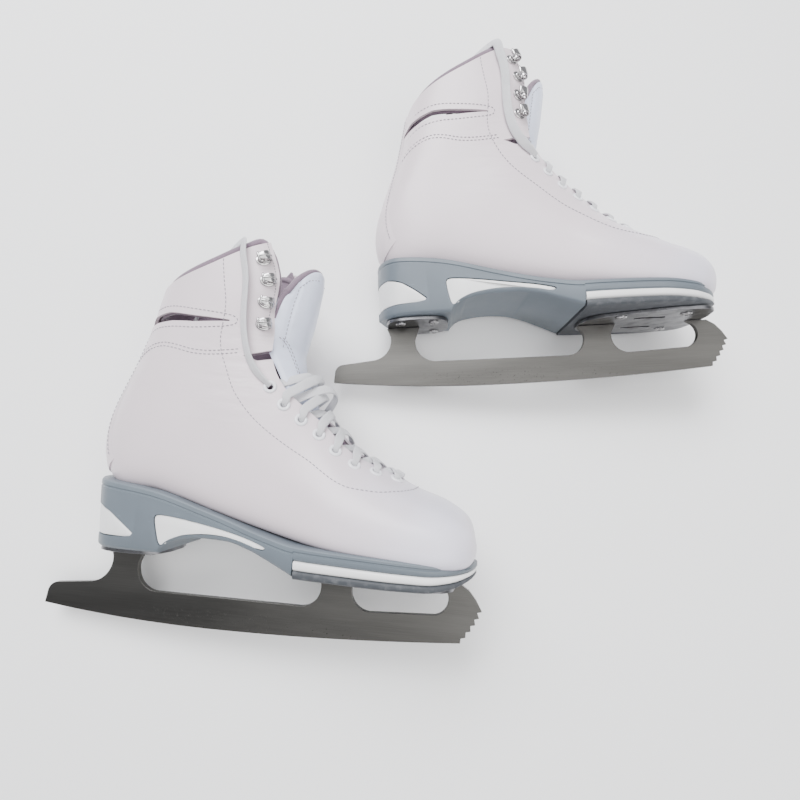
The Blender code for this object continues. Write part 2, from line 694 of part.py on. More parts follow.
class Lacing:
    """The flat lace between the two top eyelets: down in zigzag, across, and back up."""

    def __init__(self, skate, last):
        self.last = last
        self.rings = eyelet_rings(last)
        self.seat = FACING_SEAT + FACING_THICKNESS + EYELET_RISE + FIT + LACE_THICKNESS / 2
        self.slack = 7.0 if skate.side == "left" else 1.5
        self.path, self.ups, self.widths = [], [], []

    def add(self, point, up, width):
        self.path.append(point)
        self.ups.append(up)
        self.widths.append(width)

    def on_facing(self, row, sign, cell, width):
        """A point over the facing: row counts eyelets from the top, cell from the edge."""
        ring = float(np.interp(row, range(EYELETS), self.rings))
        here, normal, _, _ = self.last.frame(ring, cell_columns(sign, cell, cell)[0], self.seat)
        self.add(here, normal, width)
        return here, normal

    def cross(self, row, sign, target, crown):
        """From eyelet row on one side over the tongue to the target row on the other."""
        lean = 0.27 * (target - row)
        self.on_facing(row + 0.5 * lean, sign, 0.42, 0.5 * LACE_WIDTH)
        a = self.on_facing(row + lean, sign, -0.02, 0.72 * LACE_WIDTH)
        slot = len(self.path)
        b = self.on_facing(target - lean, -sign, -0.02, 0.72 * LACE_WIDTH)
        up = a[1] + b[1]
        up /= np.linalg.norm(up)
        crown += self.over_tongue((a[0] + b[0]) / 2, up)
        for share in (0.68, 0.32):
            self.path.insert(slot, a[0] * (1 - share) + b[0] * share + up * crown)
            self.ups.insert(slot, up)
            self.widths.insert(slot, LACE_WIDTH)
        self.on_facing(target - 0.5 * lean, -sign, 0.42, 0.5 * LACE_WIDTH)

    def over_tongue(self, middle, up):
        """How far the tongue's front stands above a point between the facings."""
        line = np.array(TONGUE_LINE)
        knots = np.array([catmull(line, t) for t in np.linspace(0, len(line) - 1, 60)])
        offset = knots - middle[[0, 2]]
        near = offset[int(np.argmin(np.linalg.norm(offset, axis=1)))]
        return max(float(near @ up[[0, 2]]), 0.0)

    def run(self):
        rows = EYELETS - 1
        for k in range(rows):
            crown = UNDER_CROWN + self.slack * math.sin(math.pi * (k + 0.5) / EYELETS)
            self.cross(k, 1 if k % 2 == 0 else -1, k + 1, crown)
        self.cross(rows, 1 if rows % 2 == 0 else -1, rows, UNDER_CROWN)
        for k in range(rows, 0, -1):
            crown = OVER_CROWN + 1.4 * self.slack * math.sin(math.pi * (k - 0.5) / EYELETS)
            self.cross(k, -1 if k % 2 == 0 else 1, k - 1, crown)
        return self.path, self.ups, self.widths


UNDER_CROWN = 1.8            # how far the lower strand stands off the tongue
OVER_CROWN = 4.6


def make_lacing(skate, last):
    path, ups, widths = Lacing(skate, last).run()
    skate.solid("lace_run", *ribbon(path, ups, widths, LACE_THICKNESS), "lace")


# Route of a free lace end inside the boot, after the collar: x, distance from the
# boot's middle, height.
INSIDE_ROUTE = (
    (124.0, 27.0, 262.0), (114.0, 25.0, 240.0), (103.0, 24.0, 210.0), (93.0, 23.0, 178.0),
    (86.0, 21.0, 148.0), (86.0, 19.0, 126.0), (98.0, 18.0, 112.0), (122.0, 17.0, 102.0),
    (152.0, 17.0, 92.0), (184.0, 18.0, 82.0),
)


def make_lace_end(skate, last, side_sign, name):
    """Free end: up beside the hooks, over the collar and down into the boot."""
    rings = eyelet_rings(last)
    lift = LACE_WIDTH / 2 + 2.6
    start = cell_columns(side_sign, 0.5, 0.5)[0]
    here, normal, up, across = last.frame(rings[0], start, lift + 2.0)
    knots = [here + normal * 1.5]
    for i, cell in ((14.4, 0.95), (16.4, 1.25), (18.5, 1.35), (20.6, 1.3), (21.9, 1.25)):
        knots.append(last.at(i, cell_columns(side_sign, cell, cell)[0], lift))
    rim = last.at(22.0, cell_columns(side_sign, 1.25, 1.25)[0], 0.0)
    knots.append(rim + np.array((2.0, 0.0, LINING_ROLL + lift + 1.5)))
    for x, y, z in INSIDE_ROUTE:
        knots.append(np.array((x, side_sign * y, z)))
    dense = np.array([catmull(knots, t) for t in np.linspace(0, len(knots) - 1, 300)])
    run = np.concatenate([[0], np.cumsum(np.linalg.norm(np.diff(dense, axis=0), axis=1))])
    count = int(run[-1] / (2.6 * LACE_WIDTH)) + 1
    stops = np.linspace(0, run[-1], count)
    route = np.stack([np.interp(stops, run, dense[:, k]) for k in range(3)], 1)
    curve = bpy.data.curves.new(name, "CURVE")
    curve.dimensions = "3D"
    curve.bevel_depth = LACE_WIDTH / 2 * MM
    curve.bevel_resolution = 2
    curve.use_fill_caps = True
    line = curve.splines.new("POLY")
    line.points.add(count - 1)
    for point, p in zip(line.points, route):
        point.co = (*skate.point(p), 1.0)
    curve.materials.append(material("lace", f"{skate.side}_{name}"))
    obj = bpy.data.objects.new(f"{skate.side}_{name}", curve)
    bpy.context.scene.collection.objects.link(obj)
    obj.parent = skate.root
    return run[-1]


# ================================== sole unit ====================================
SOLE_TOP = ((38, 96.5), (60, 94.5), (92, 90.5), (135, 79.0), (177, 67.0), (200, 62.5), (258, 60.5), (290, 59.0), (316, 57.0))
SOLE_HALF = ((39.5, 0), (41.5, 10), (45, 18), (50, 25), (59, 30.5), (75, 33), (100, 33.5), (140, 34),
             (180, 39), (215, 44.5), (255, 46.5), (280, 43), (296, 35), (307, 24.5), (313.5, 14), (317, 0))
SOLE_SHIFT = ((38, 0), (200, 0.0), (256, 2.5), (291, 7.0), (316, 12.0))
FORE_BOTTOM = ((199, FORE_BOTTOM_Z), (284, FORE_BOTTOM_Z), (300, FORE_BOTTOM_Z + 2.2), (316, FORE_BOTTOM_Z + 8.0))
ARCH = ((100, HEEL_BOTTOM_Z), (104, 53.5), (114, 58.0), (134, 60.5), (150, 60.0), (166, 56.5), (182, 50.5), (199, 43.5))
HEEL_WINDOW = ((20.0, 57.0), (20.0, 79.5), (50.0, 78.0), (62.0, 73.5), (73.0, 66.0), (84.5, 57.0))
WAIST_WINDOW = ((100.8, 52.0), (96.5, 71.0), (98.5, 74.0), (112.0, 73.0), (138.0, 69.0), (164.0, 64.0),
                (180.0, 59.0), (176.0, 57.5), (166.0, 60.8), (150.0, 63.6), (134.0, 64.0), (116.0, 61.8), (106.0, 57.5))


def sole_bottom(x):
    if x <= BREAST_X:
        return HEEL_BOTTOM_Z + 2.5 * max(0.0, (49.0 - x) / 8.0)
    if x < WEDGE_START_X:
        return spline(ARCH, x)
    return spline(FORE_BOTTOM, x)


def sole_half(x, z):
    """Half width of the sole unit at height z: it draws in towards the ground."""
    top = spline(SOLE_TOP, x)
    taper = 0.13 if x < 150 else 0.13 - 0.05 * min(1.0, (x - 150) / 50)
    return max(spline(SOLE_HALF, x) - taper * max(0.0, top - 8.0 - z), 3.0)


def sole_ring(x, top, bottom):
    middle = spline(SOLE_SHIFT, x)
    deep = bottom + min(2.5, 0.3 * (top - bottom))
    left, right = [], []
    for z, inset in ((top, 0.8), (top - 1.2, 0.0), (deep, 0.0), (bottom, 2.2)):
        half = sole_half(x, z) - inset
        right.append((x, middle + half, z))
        left.append((x, middle - half, z))
    return right + list(reversed(left))


def layer(stations, top, bottom):
    return loft([sole_ring(x, top(x), bottom(x)) for x in stations])


def grown(outline, by):
    """An outline with every corner moved outward by about the given distance."""
    pts = np.array(outline, float)
    n = len(pts)
    area = sum(pts[k][0] * pts[(k + 1) % n][1] - pts[(k + 1) % n][0] * pts[k][1] for k in range(n))
    out = []
    for k in range(n):
        before = pts[k] - pts[k - 1]
        after = pts[(k + 1) % n] - pts[k]
        normals = [np.array((d[1], -d[0])) / np.linalg.norm(d) for d in (before, after)]
        bisector = (normals[0] + normals[1]) / (1 + np.dot(*normals))
        out.append(tuple(pts[k] + bisector * by * (1 if area > 0 else -1)))
    return out


def fore_level(x, share):
    """Height at a share of the forefoot sole's thickness above the ground side."""
    bottom, top = spline(FORE_BOTTOM, x), spline(SOLE_TOP, x)
    return bottom + share * (top - bottom)


def tread_top(x):
    return fore_level(x, TREAD_SHARE)


def wedge_top(x):
    return fore_level(x, TREAD_SHARE + WEDGE_SHARE)


def make_sole(skate, last):
    heel = (40.0, 41.5, 44.5, 49.0, 57.0, 70.0, 86.0, 99.9, 100.4, 104.0, 112.0, 124.0, 140.0)
    fore = (160.0, 182.0, 198.6)
    toe = (199.2, 220.0, 242.0, 264.0, 284.0, 299.0, 308.0, 314.0, 316.6)

    def band_bottom(x):
        return sole_bottom(x) if x < WEDGE_START_X else wedge_top(x) + FIT

    points, faces = layer(heel + fore + toe, lambda x: spline(SOLE_TOP, x), band_bottom)
    outsole = skate.solid("outsole", points, faces, "sole_grey")
    bed = last.offset(LAST_GAP)
    cup_points, cup_faces = tube_shell(bed, last.offset(-0.01), [False] * last.count, True)
    count = len(cup_points) // 2
    # Only the outer skin is needed, closed over the throat and at the collar.
    cols = CELLS_AROUND + 1
    skin = []
    for i in range(last.count - 1):
        for j in range(cols):
            k = (j + 1) % cols
            skin.append((i * cols + j, i * cols + k, (i + 1) * cols + k, (i + 1) * cols + j))
    skin.append(tuple(range(cols)))
    skin.append(tuple((last.count - 1) * cols + j for j in range(cols)))
    cup = skate.cutter("cup_cutter", cup_points[:count], skin)
    skate.boolean(outsole, cup, "DIFFERENCE")
    reach = 70.0
    windows = merged([
        prism(grown(HEEL_WINDOW, FIT), 1, -reach, reach),
        prism(grown(WAIST_WINDOW, FIT), 1, -reach, reach),
    ])
    skate.boolean(outsole, skate.cutter("window_cutter", *windows), "DIFFERENCE")

    stations = [HEEL_BACK_X + d for d in (0.6, 3.0, 9.0)] + [p[0] for p in HEEL_WINDOW[2:-1]] + [84.0]
    upper_edge = HEEL_WINDOW[1:]

    def core_top(x):
        return float(np.interp(x, *zip(*upper_edge)))

    rings = []
    for x in stations:
        ring = []
        low, high = HEEL_WINDOW[0][1], max(core_top(x), HEEL_WINDOW[0][1] + 0.6)
        for z in (high, low):
            half = sole_half(x, z) - 0.5
            ring.append((x, half, z))
        rings.append(ring + [(p[0], -p[1], p[2]) for p in reversed(ring)])
    skate.solid("heel_inlay", *loft(rings), "sole_white")

    outline = WAIST_WINDOW
    points, faces = prism(outline, 1, -1.0, 1.0)
    points = [(x, y * (sole_half(x, z) - 1.6) + spline(SOLE_SHIFT, x), z) for x, y, z in points]
    skate.solid("waist_inlay", points, faces, "sole_white")

    start = WEDGE_START_X + 0.6
    layers = (start,) + toe[1:-1] + (TOE_X,)
    points, faces = layer(layers, wedge_top, lambda x: tread_top(x) + FIT)
    skate.solid("toe_wedge", points, faces, "sole_white")
    points, faces = layer(layers, tread_top, lambda x: spline(FORE_BOTTOM, x))
    skate.solid("tread", points, faces, "tread")


# ================================ plates and screws ==============================
def plate_outline(low, high, widths):
    """A rounded plate outline: half widths at evenly spaced stations, both sides."""
    n = len(widths)
    xs = [low + (high - low) * (1 - math.cos(math.pi * k / (n - 1))) / 2 for k in range(n)]
    right = [(x, w) for x, w in zip(xs, widths)]
    left = [(x, -w) for x, w in reversed(list(zip(xs, widths)))]
    return right + left


SOLE_PLATE_HALF = (7.0, 15.0, 21.0, 25.0, 29.0, 31.5, 31.0, 24.0, 10.0)
HEEL_PLATE_HALF = (9.0, 17.0, 21.0, 22.5, 22.0, 17.0, 8.0)
SOLE_SCREWS = ((232.0, 20.5), (232.0, -20.5), (281.0, 21.0), (281.0, -21.0))
HEEL_SCREWS = ((59.0, 13.0), (59.0, -13.0), (86.0, 13.5), (86.0, -13.5))


def disc(centre, radius, low, high, sides=8):
    outline = [
        (centre[0] + radius * math.cos(2 * math.pi * k / sides), centre[1] + radius * math.sin(2 * math.pi * k / sides))
        for k in range(sides)
    ]
    return prism(outline, 2, low, high)


def slot(centre, length, width, low, high):
    half = (length - width) / 2
    outline = arc((centre[0] + half, centre[1]), width / 2, -90, 90, 4)
    outline += arc((centre[0] - half, centre[1]), width / 2, 90, 270, 4)
    return prism(outline, 2, low, high)


def screw(x, y, under, top):
    """A pan-head screw pointing up into the sole: head below the plate, then shank."""
    levels = (
        (under - SCREW_HEAD_H, SCREW_HEAD_R - 0.7),
        (under - FIT, SCREW_HEAD_R),
        (under - FIT, SCREW_SHANK_R),
        (top, SCREW_SHANK_R - 0.2),
    )
    rings = []
    for z, r in levels:
        rings.append([
            (x + r * math.cos(math.pi * k / 3), y + r * math.sin(math.pi * k / 3), z) for k in range(6)
        ])
    return loft(rings)


def make_plates(skate):
    sets = (
        ("sole_plate", SOLE_PLATE_X, SOLE_PLATE_HALF, FORE_BOTTOM_Z, SOLE_SCREWS, "sole_screw"),
        ("heel_plate", HEEL_PLATE_X, HEEL_PLATE_HALF, HEEL_BOTTOM_Z, HEEL_SCREWS, "heel_screw"),
    )
    for name, (low, high), widths, seat, screws, screw_name in sets:
        top = seat - FIT
        under = top - PLATE_THICKNESS
        plate = skate.solid(name, *prism(plate_outline(low, high, widths), 2, under, top), "plate")
        holes = [disc(c, SCREW_SHANK_R + FIT, under - 2, top + 2) for c in screws]
        if name == "sole_plate":
            holes += [slot((257.0, y), SLOT_LENGTH, SLOT_WIDTH, under - 2, top + 2) for y in (13.0, -13.0)]
        skate.boolean(plate, skate.cutter(f"{name}_holes", *merged(holes)), "DIFFERENCE")
        for k, (x, y) in enumerate(screws):
            skate.solid(f"{screw_name}_{k + 1}", *screw(x, y, under, top - 0.1), "chrome")


# ==================================== blade =====================================
def edge_height(x):
    """Height of the running edge: two arcs that meet at the lowest point."""
    reach = ROCKER_LOW_X if x < ROCKER_LOW_X else EDGE_LENGTH - ROCKER_LOW_X
    return -ROCKER_DROP * (1 - ((x - ROCKER_LOW_X) / reach) ** 2)


def picks():
    """Saw teeth from the drag pick up the blade's nose."""
    out = []
    for k in range(PICK_COUNT):
        f = k / (PICK_COUNT - 1)
        tip = np.array((EDGE_LENGTH + PICK_LEAD * (1 - (1 - f) ** 1.3), PICK_RISE * f ** 1.05))
        if k:
            out.append(tuple(tip + np.array((-PICK_DEPTH, -0.8))))
        out.append(tuple(tip))
    return out


def blade_outline():
    heel_top = HEEL_BOTTOM_Z - 2 * FIT - PLATE_THICKNESS
    sole_top = FORE_BOTTOM_Z - 2 * FIT - PLATE_THICKNESS
    low, high = HEEL_STANCHION
    runner = RUNNER_HEIGHT
    nose = EDGE_LENGTH + PICK_LEAD
    points = [(0.0, 0.0)]
    points += [(x, edge_height(x)) for x in (25.0, 55.0, 85.0, 115.0, 145.0, 175.0, 205.0, 235.0, 265.0, 290.0)]
    points += picks()
    points += [(nose - 4.0, PICK_RISE + 7.0), (nose - 9.0, PICK_RISE + 13.0), (nose - 15.0, sole_top)]
    points += [(TOE_ARM_X - 8.0, sole_top)]
    r = WINDOW_RADIUS
    points += arc((TOE_ARM_X - 11.0, runner + 12.5), 11.0, 55, -80, 7)
    right, left = SOLE_STANCHION[1], SOLE_STANCHION[0]
    points += arc((right + r, runner - 0.5 + r), r, 270, 165, 6)
    points += [(right + 4.0, sole_top), (left - 5.0, sole_top)]
    points += arc((left - r, runner - 0.8 + r), r, 15, -90, 6)
    r = WINDOW_RADIUS + 3.0
    points += arc((high + r, runner - 0.4 + r), r, 270, 170, 7)
    points += [(high + 4.0, heel_top), (low - 3.0, heel_top)]
    points += arc((low - r, runner + 2.5 + r), r, 10, -85, 7)
    points += arc((8.5, runner - 7.5), 7.5, 95, 170, 4)
    return points


def make_blade(skate):
    half = BLADE_THICKNESS / 2
    skate.solid("blade", *prism(blade_outline(), 1, -half, half), "steel", smooth=30)


# ================================== assembly ====================================
def world_points():
    """Every point of every solid in place, for settling the pair on the floor."""
    graph = bpy.context.evaluated_depsgraph_get()
    out = {}
    for obj in bpy.data.objects:
        if obj.type == "EMPTY" or obj.hide_render:
            continue
        shape = obj.evaluated_get(graph)
        mesh = shape.to_mesh()
        flat = np.empty(len(mesh.vertices) * 3, np.float32)
        mesh.vertices.foreach_get("co", flat)
        matrix = np.array(obj.matrix_world)
        out[obj.name] = flat.reshape(-1, 3) @ matrix[:3, :3].T + matrix[:3, 3]
        shape.to_mesh_clear()
    return out


def lay_down(skates):
    """Turn each skate onto its side, lower it to the floor and centre the pair."""
    for skate in skates:
        rest = REST[skate.side]
        turn = (rest["top_lift"] - 90.0, -rest["toe_lift"], rest["heading"])
        skate.root.rotation_euler = Euler([math.radians(a) for a in turn], "XYZ")
    skates[1].root.location = (RIGHT_FROM_LEFT[0] * MM, RIGHT_FROM_LEFT[1] * MM, 0.0)
    bpy.context.view_layer.update()
    points = world_points()
    for skate in skates:
        own = [p for name, p in points.items() if name.startswith(skate.side) and "lace_end" not in name]
        lowest = min(p[:, 2].min() for p in own)
        skate.root.location.z -= float(lowest)
    every = np.vstack([p for name, p in points.items() if "lace_end" not in name])
    middle = (every.min(axis=0) + every.max(axis=0)) / 2
    for skate in skates:
        skate.root.location.x -= float(middle[0])
        skate.root.location.y -= float(middle[1])
    bpy.context.view_layer.update()


def build_skate(side):
    skate = Skate(side)
    last = Last(side)
    upper, _ = make_upper(skate, last)
    make_backstay(skate, last)
    make_footbed(skate, last)
    for sign, word in ((1, "medial"), (-1, "lateral")):
        make_facing(skate, last, sign, f"facing_{word}")
        make_hooks(skate, last, upper, sign, f"hooks_{word}")
        make_lace_end(skate, last, sign, f"lace_end_{word}")
    make_tongue(skate, last)
    make_lacing(skate, last)
    make_sole(skate, last)
    make_plates(skate)
    make_blade(skate)
    return skate


def main():
    clear_scene()
    lay_down([build_skate("left"), build_skate("right")])


main()
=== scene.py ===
"""Looks for a pair of leather figure skates that lie on their sides.

Each skate is drawn in its own frame, in millimetres: X to the toe, Z up from the blade
to the collar, Y across, with the inner side at +Y for the right-hand pattern.
"""

import json
import math

import bmesh
import bpy
import numpy as np
from mathutils import Euler, Matrix, Vector


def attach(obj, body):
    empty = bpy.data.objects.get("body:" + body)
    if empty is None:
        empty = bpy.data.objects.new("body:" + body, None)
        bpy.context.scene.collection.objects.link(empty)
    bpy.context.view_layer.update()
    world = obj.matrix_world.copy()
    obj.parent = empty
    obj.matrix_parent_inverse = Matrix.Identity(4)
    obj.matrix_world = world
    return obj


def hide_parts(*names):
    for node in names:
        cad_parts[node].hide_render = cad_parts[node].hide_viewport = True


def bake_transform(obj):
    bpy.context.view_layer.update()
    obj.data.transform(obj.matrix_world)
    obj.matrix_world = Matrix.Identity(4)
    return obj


bl_info = {
    "name": "Figure skates",
    "version": (1, 0, 0),
    "blender": (4, 5, 0),
    "location": "View3D > Sidebar > Skates",
    "description": "Leather boots, laces, soles and blades of a pair of figure skates",
    "category": "Object",
}

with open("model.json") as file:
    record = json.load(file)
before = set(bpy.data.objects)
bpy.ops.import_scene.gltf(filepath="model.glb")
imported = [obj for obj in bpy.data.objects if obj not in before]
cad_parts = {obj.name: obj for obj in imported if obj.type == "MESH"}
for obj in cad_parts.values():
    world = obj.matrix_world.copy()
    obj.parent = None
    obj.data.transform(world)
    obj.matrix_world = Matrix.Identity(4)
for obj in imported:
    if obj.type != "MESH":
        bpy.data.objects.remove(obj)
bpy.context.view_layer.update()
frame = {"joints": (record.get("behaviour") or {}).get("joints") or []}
SIDES = ("left", "right")
MM = 0.001

# ---- the pattern of the boot ------------------------------------------------------
FACING_WIDTH = 18.0
LEATHER = 2.0
INTERLINING = 1.5
LINING = 2.0
LINING_ROLL = 4.0
FIT = 0.3                     # gap between pieces that touch
FOOTBED = 3.0
FACING_THICKNESS = 1.2
CELLS = 16                    # feature cells round the boot
RINGS_PER_SPAN = 2            # feature rings between two sections
FINE_ALONG = 4                # mesh rows to a feature ring
FINE_AROUND = 4               # mesh columns to a feature cell
EYELETS = 8
EYELET_PITCH = 16.0
HOOKS = 4
HOOK_PITCH = 16.0
LACE_WIDTH = 7.0
LACE_THICKNESS = 1.5
TONGUE_HINGE = (183.0, 0.0, 184.0)

REST = {
    "left": {"mirror": -1, "heading": -4.5, "toe_lift": 7.0, "top_lift": 5.6},
    "right": {"mirror": 1, "heading": 1.1, "toe_lift": 6.0, "top_lift": 5.8},
}

# Cross-sections of the boot from toe to collar: bottom or back point (x, z), top or
# front point (x, z), half width, shift to the inner side, height share of the widest
# point, squareness below it, squareness above it, sag between back and front.
SECTIONS = (
    ((314.5, 59.0), (315.5, 69.0), 11.0, 12.0, 0.45, 2.2, 2.2, 0.0),
    ((308.0, 53.5), (311.0, 84.0), 27.0, 10.0, 0.42, 3.4, 2.1, 0.0),
    ((291.0, 52.5), (295.0, 95.0), 40.0, 7.0, 0.38, 4.6, 2.0, 0.0),
    ((260.0, 54.0), (268.0, 105.0), 46.5, 2.5, 0.36, 4.6, 1.85, 0.0),
    ((221.0, 57.5), (233.0, 126.5), 45.5, 0.0, 0.36, 4.6, 1.7, 0.0),
    ((182.0, 64.5), (209.0, 157.0), 39.5, -0.5, 0.38, 4.4, 1.7, 0.0),
    ((138.0, 75.0), (190.0, 184.0), 38.0, 0.0, 0.42, 4.0, 1.9, 0.0),
    ((92.0, 86.5), (182.5, 203.0), 37.5, 0.0, 0.44, 3.4, 2.2, 0.0),
    ((52.0, 91.0), (180.5, 219.0), 37.0, 0.0, 0.46, 2.7, 2.6, 0.0),
    ((40.0, 124.0), (179.0, 234.0), 37.5, 0.0, 0.48, 2.5, 2.7, 1.0),
    ((58.0, 182.0), (177.0, 254.0), 39.0, 0.0, 0.50, 2.4, 2.8, 3.0),
    ((70.0, 231.0), (168.0, 278.0), 40.0, 0.0, 0.50, 2.3, 2.6, 4.0),
)
THROAT = {
    "left": (0, 0, 0, 0, 18.0, 22.0, 27.0, 28.0, 27.0, 27.5, 28.5, 29.5),
    "right": (0, 0, 0, 0, 17.0, 20.0, 22.0, 24.0, 24.0, 24.5, 25.0, 25.5),
}
SLIT_TOP = ((64.0, 206.0), (74.0, 213.5), (92.0, 215.5), (112.0, 213.0), (137.0, 211.0))
SLIT_BOTTOM = ((64.0, 204.5), (80.0, 208.0), (95.0, 209.0), (112.0, 208.5), (137.0, 210.0))
NOTCH = ((148.0, 186.5), (158.0, 189.5), (200.0, 204.0), (200.0, 194.0), (158.0, 183.5))


# ================================ curves and grids ================================
def catmull(rows, t):
    """The rows' values at t, where whole numbers are the rows themselves."""
    rows = np.asarray(rows, float)
    i = min(int(t), len(rows) - 2)
    f = t - i
    a = rows[max(i - 1, 0)]
    b, c = rows[i], rows[i + 1]
    d = rows[min(i + 2, len(rows) - 1)]
    return 0.5 * (
        2 * b + (c - a) * f + (2 * a - 5 * b + 4 * c - d) * f**2 + (3 * b - a - 3 * c + d) * f**3
    )


def smooth_path(knots, count):
    """Evenly spaced points on a smooth curve through the knots."""
    dense = np.array([catmull(knots, t) for t in np.linspace(0, len(knots) - 1, 40 * len(knots))])
    run = run_along(dense)
    stops = np.linspace(0, run[-1], count)
    return np.stack([np.interp(stops, run, dense[:, k]) for k in range(dense.shape[1])], 1)


def spline(knots, x):
    """A smooth height through a few (x, value) knots, with flat-limited slopes."""
    xs = np.array([k[0] for k in knots], float)
    ys = np.array([k[1] for k in knots], float)
    steps = np.diff(ys) / np.diff(xs)
    slopes = np.zeros(len(xs))
    slopes[0], slopes[-1] = steps[0], steps[-1]
    for i in range(1, len(xs) - 1):
        if steps[i - 1] * steps[i] > 0:
            slopes[i] = 2.0 / (1.0 / steps[i - 1] + 1.0 / steps[i])
    i = int(np.clip(np.searchsorted(xs, x) - 1, 0, len(xs) - 2))
    h = xs[i + 1] - xs[i]
    t = float(np.clip((x - xs[i]) / h, 0.0, 1.0))
    a = (1 + 2 * t) * (1 - t) ** 2 * ys[i] + t * (1 - t) ** 2 * h * slopes[i]
    b = t * t * (3 - 2 * t) * ys[i + 1] + t * t * (t - 1) * h * slopes[i + 1]
    return a + b


def unit(v):
    """The same direction with length 1."""
    v = np.asarray(v, float)
    return v / max(float(np.linalg.norm(v)), 1e-12)


def heading(path, k):
    """The direction of a path at its point k."""
    return unit(path[min(k + 1, len(path) - 1)] - path[max(k - 1, 0)])


def run_along(path):
    """The length of a path up to each of its points."""
    return np.concatenate([[0], np.cumsum(np.linalg.norm(np.diff(path, axis=0), axis=1))])


def evened(points, rounds):
    """Each inner point drawn towards its neighbours, a few times over."""
    for _ in range(rounds):
        points[1:-1] = (points[:-2] + 2 * points[1:-1] + points[2:]) / 4
    return points


def section_point(row, a):
    """A point on one cross-section: a is 0 at the bottom, -1 and 1 at the top."""
    bx, bz, tx, tz, half, shift, share, low, high, sag = row
    bottom, top = np.array((bx, bz)), np.array((tx, tz))
    length = np.linalg.norm(top - bottom)
    along = (top - bottom) / length
    part = min(abs(a), 1.0)
    if part <= 0.5:
        turn = part * math.pi
        y = half * math.sin(turn) ** (2 / low)
        u = share * length * (1 - math.cos(turn) ** (2 / low))
    else:
        turn = (part - 0.5) * math.pi
        y = half * max(math.cos(turn), 0.0) ** (2 / high)
        u = share * length + (1 - share) * length * math.sin(turn) ** (2 / high)
    x, z = bottom + along * u
    z -= sag * math.sin(math.pi * min(u / length, 1.0)) ** 1.5
    return np.array((x, math.copysign(y, a) + shift * min(1.0, y / half + 0.3), z))


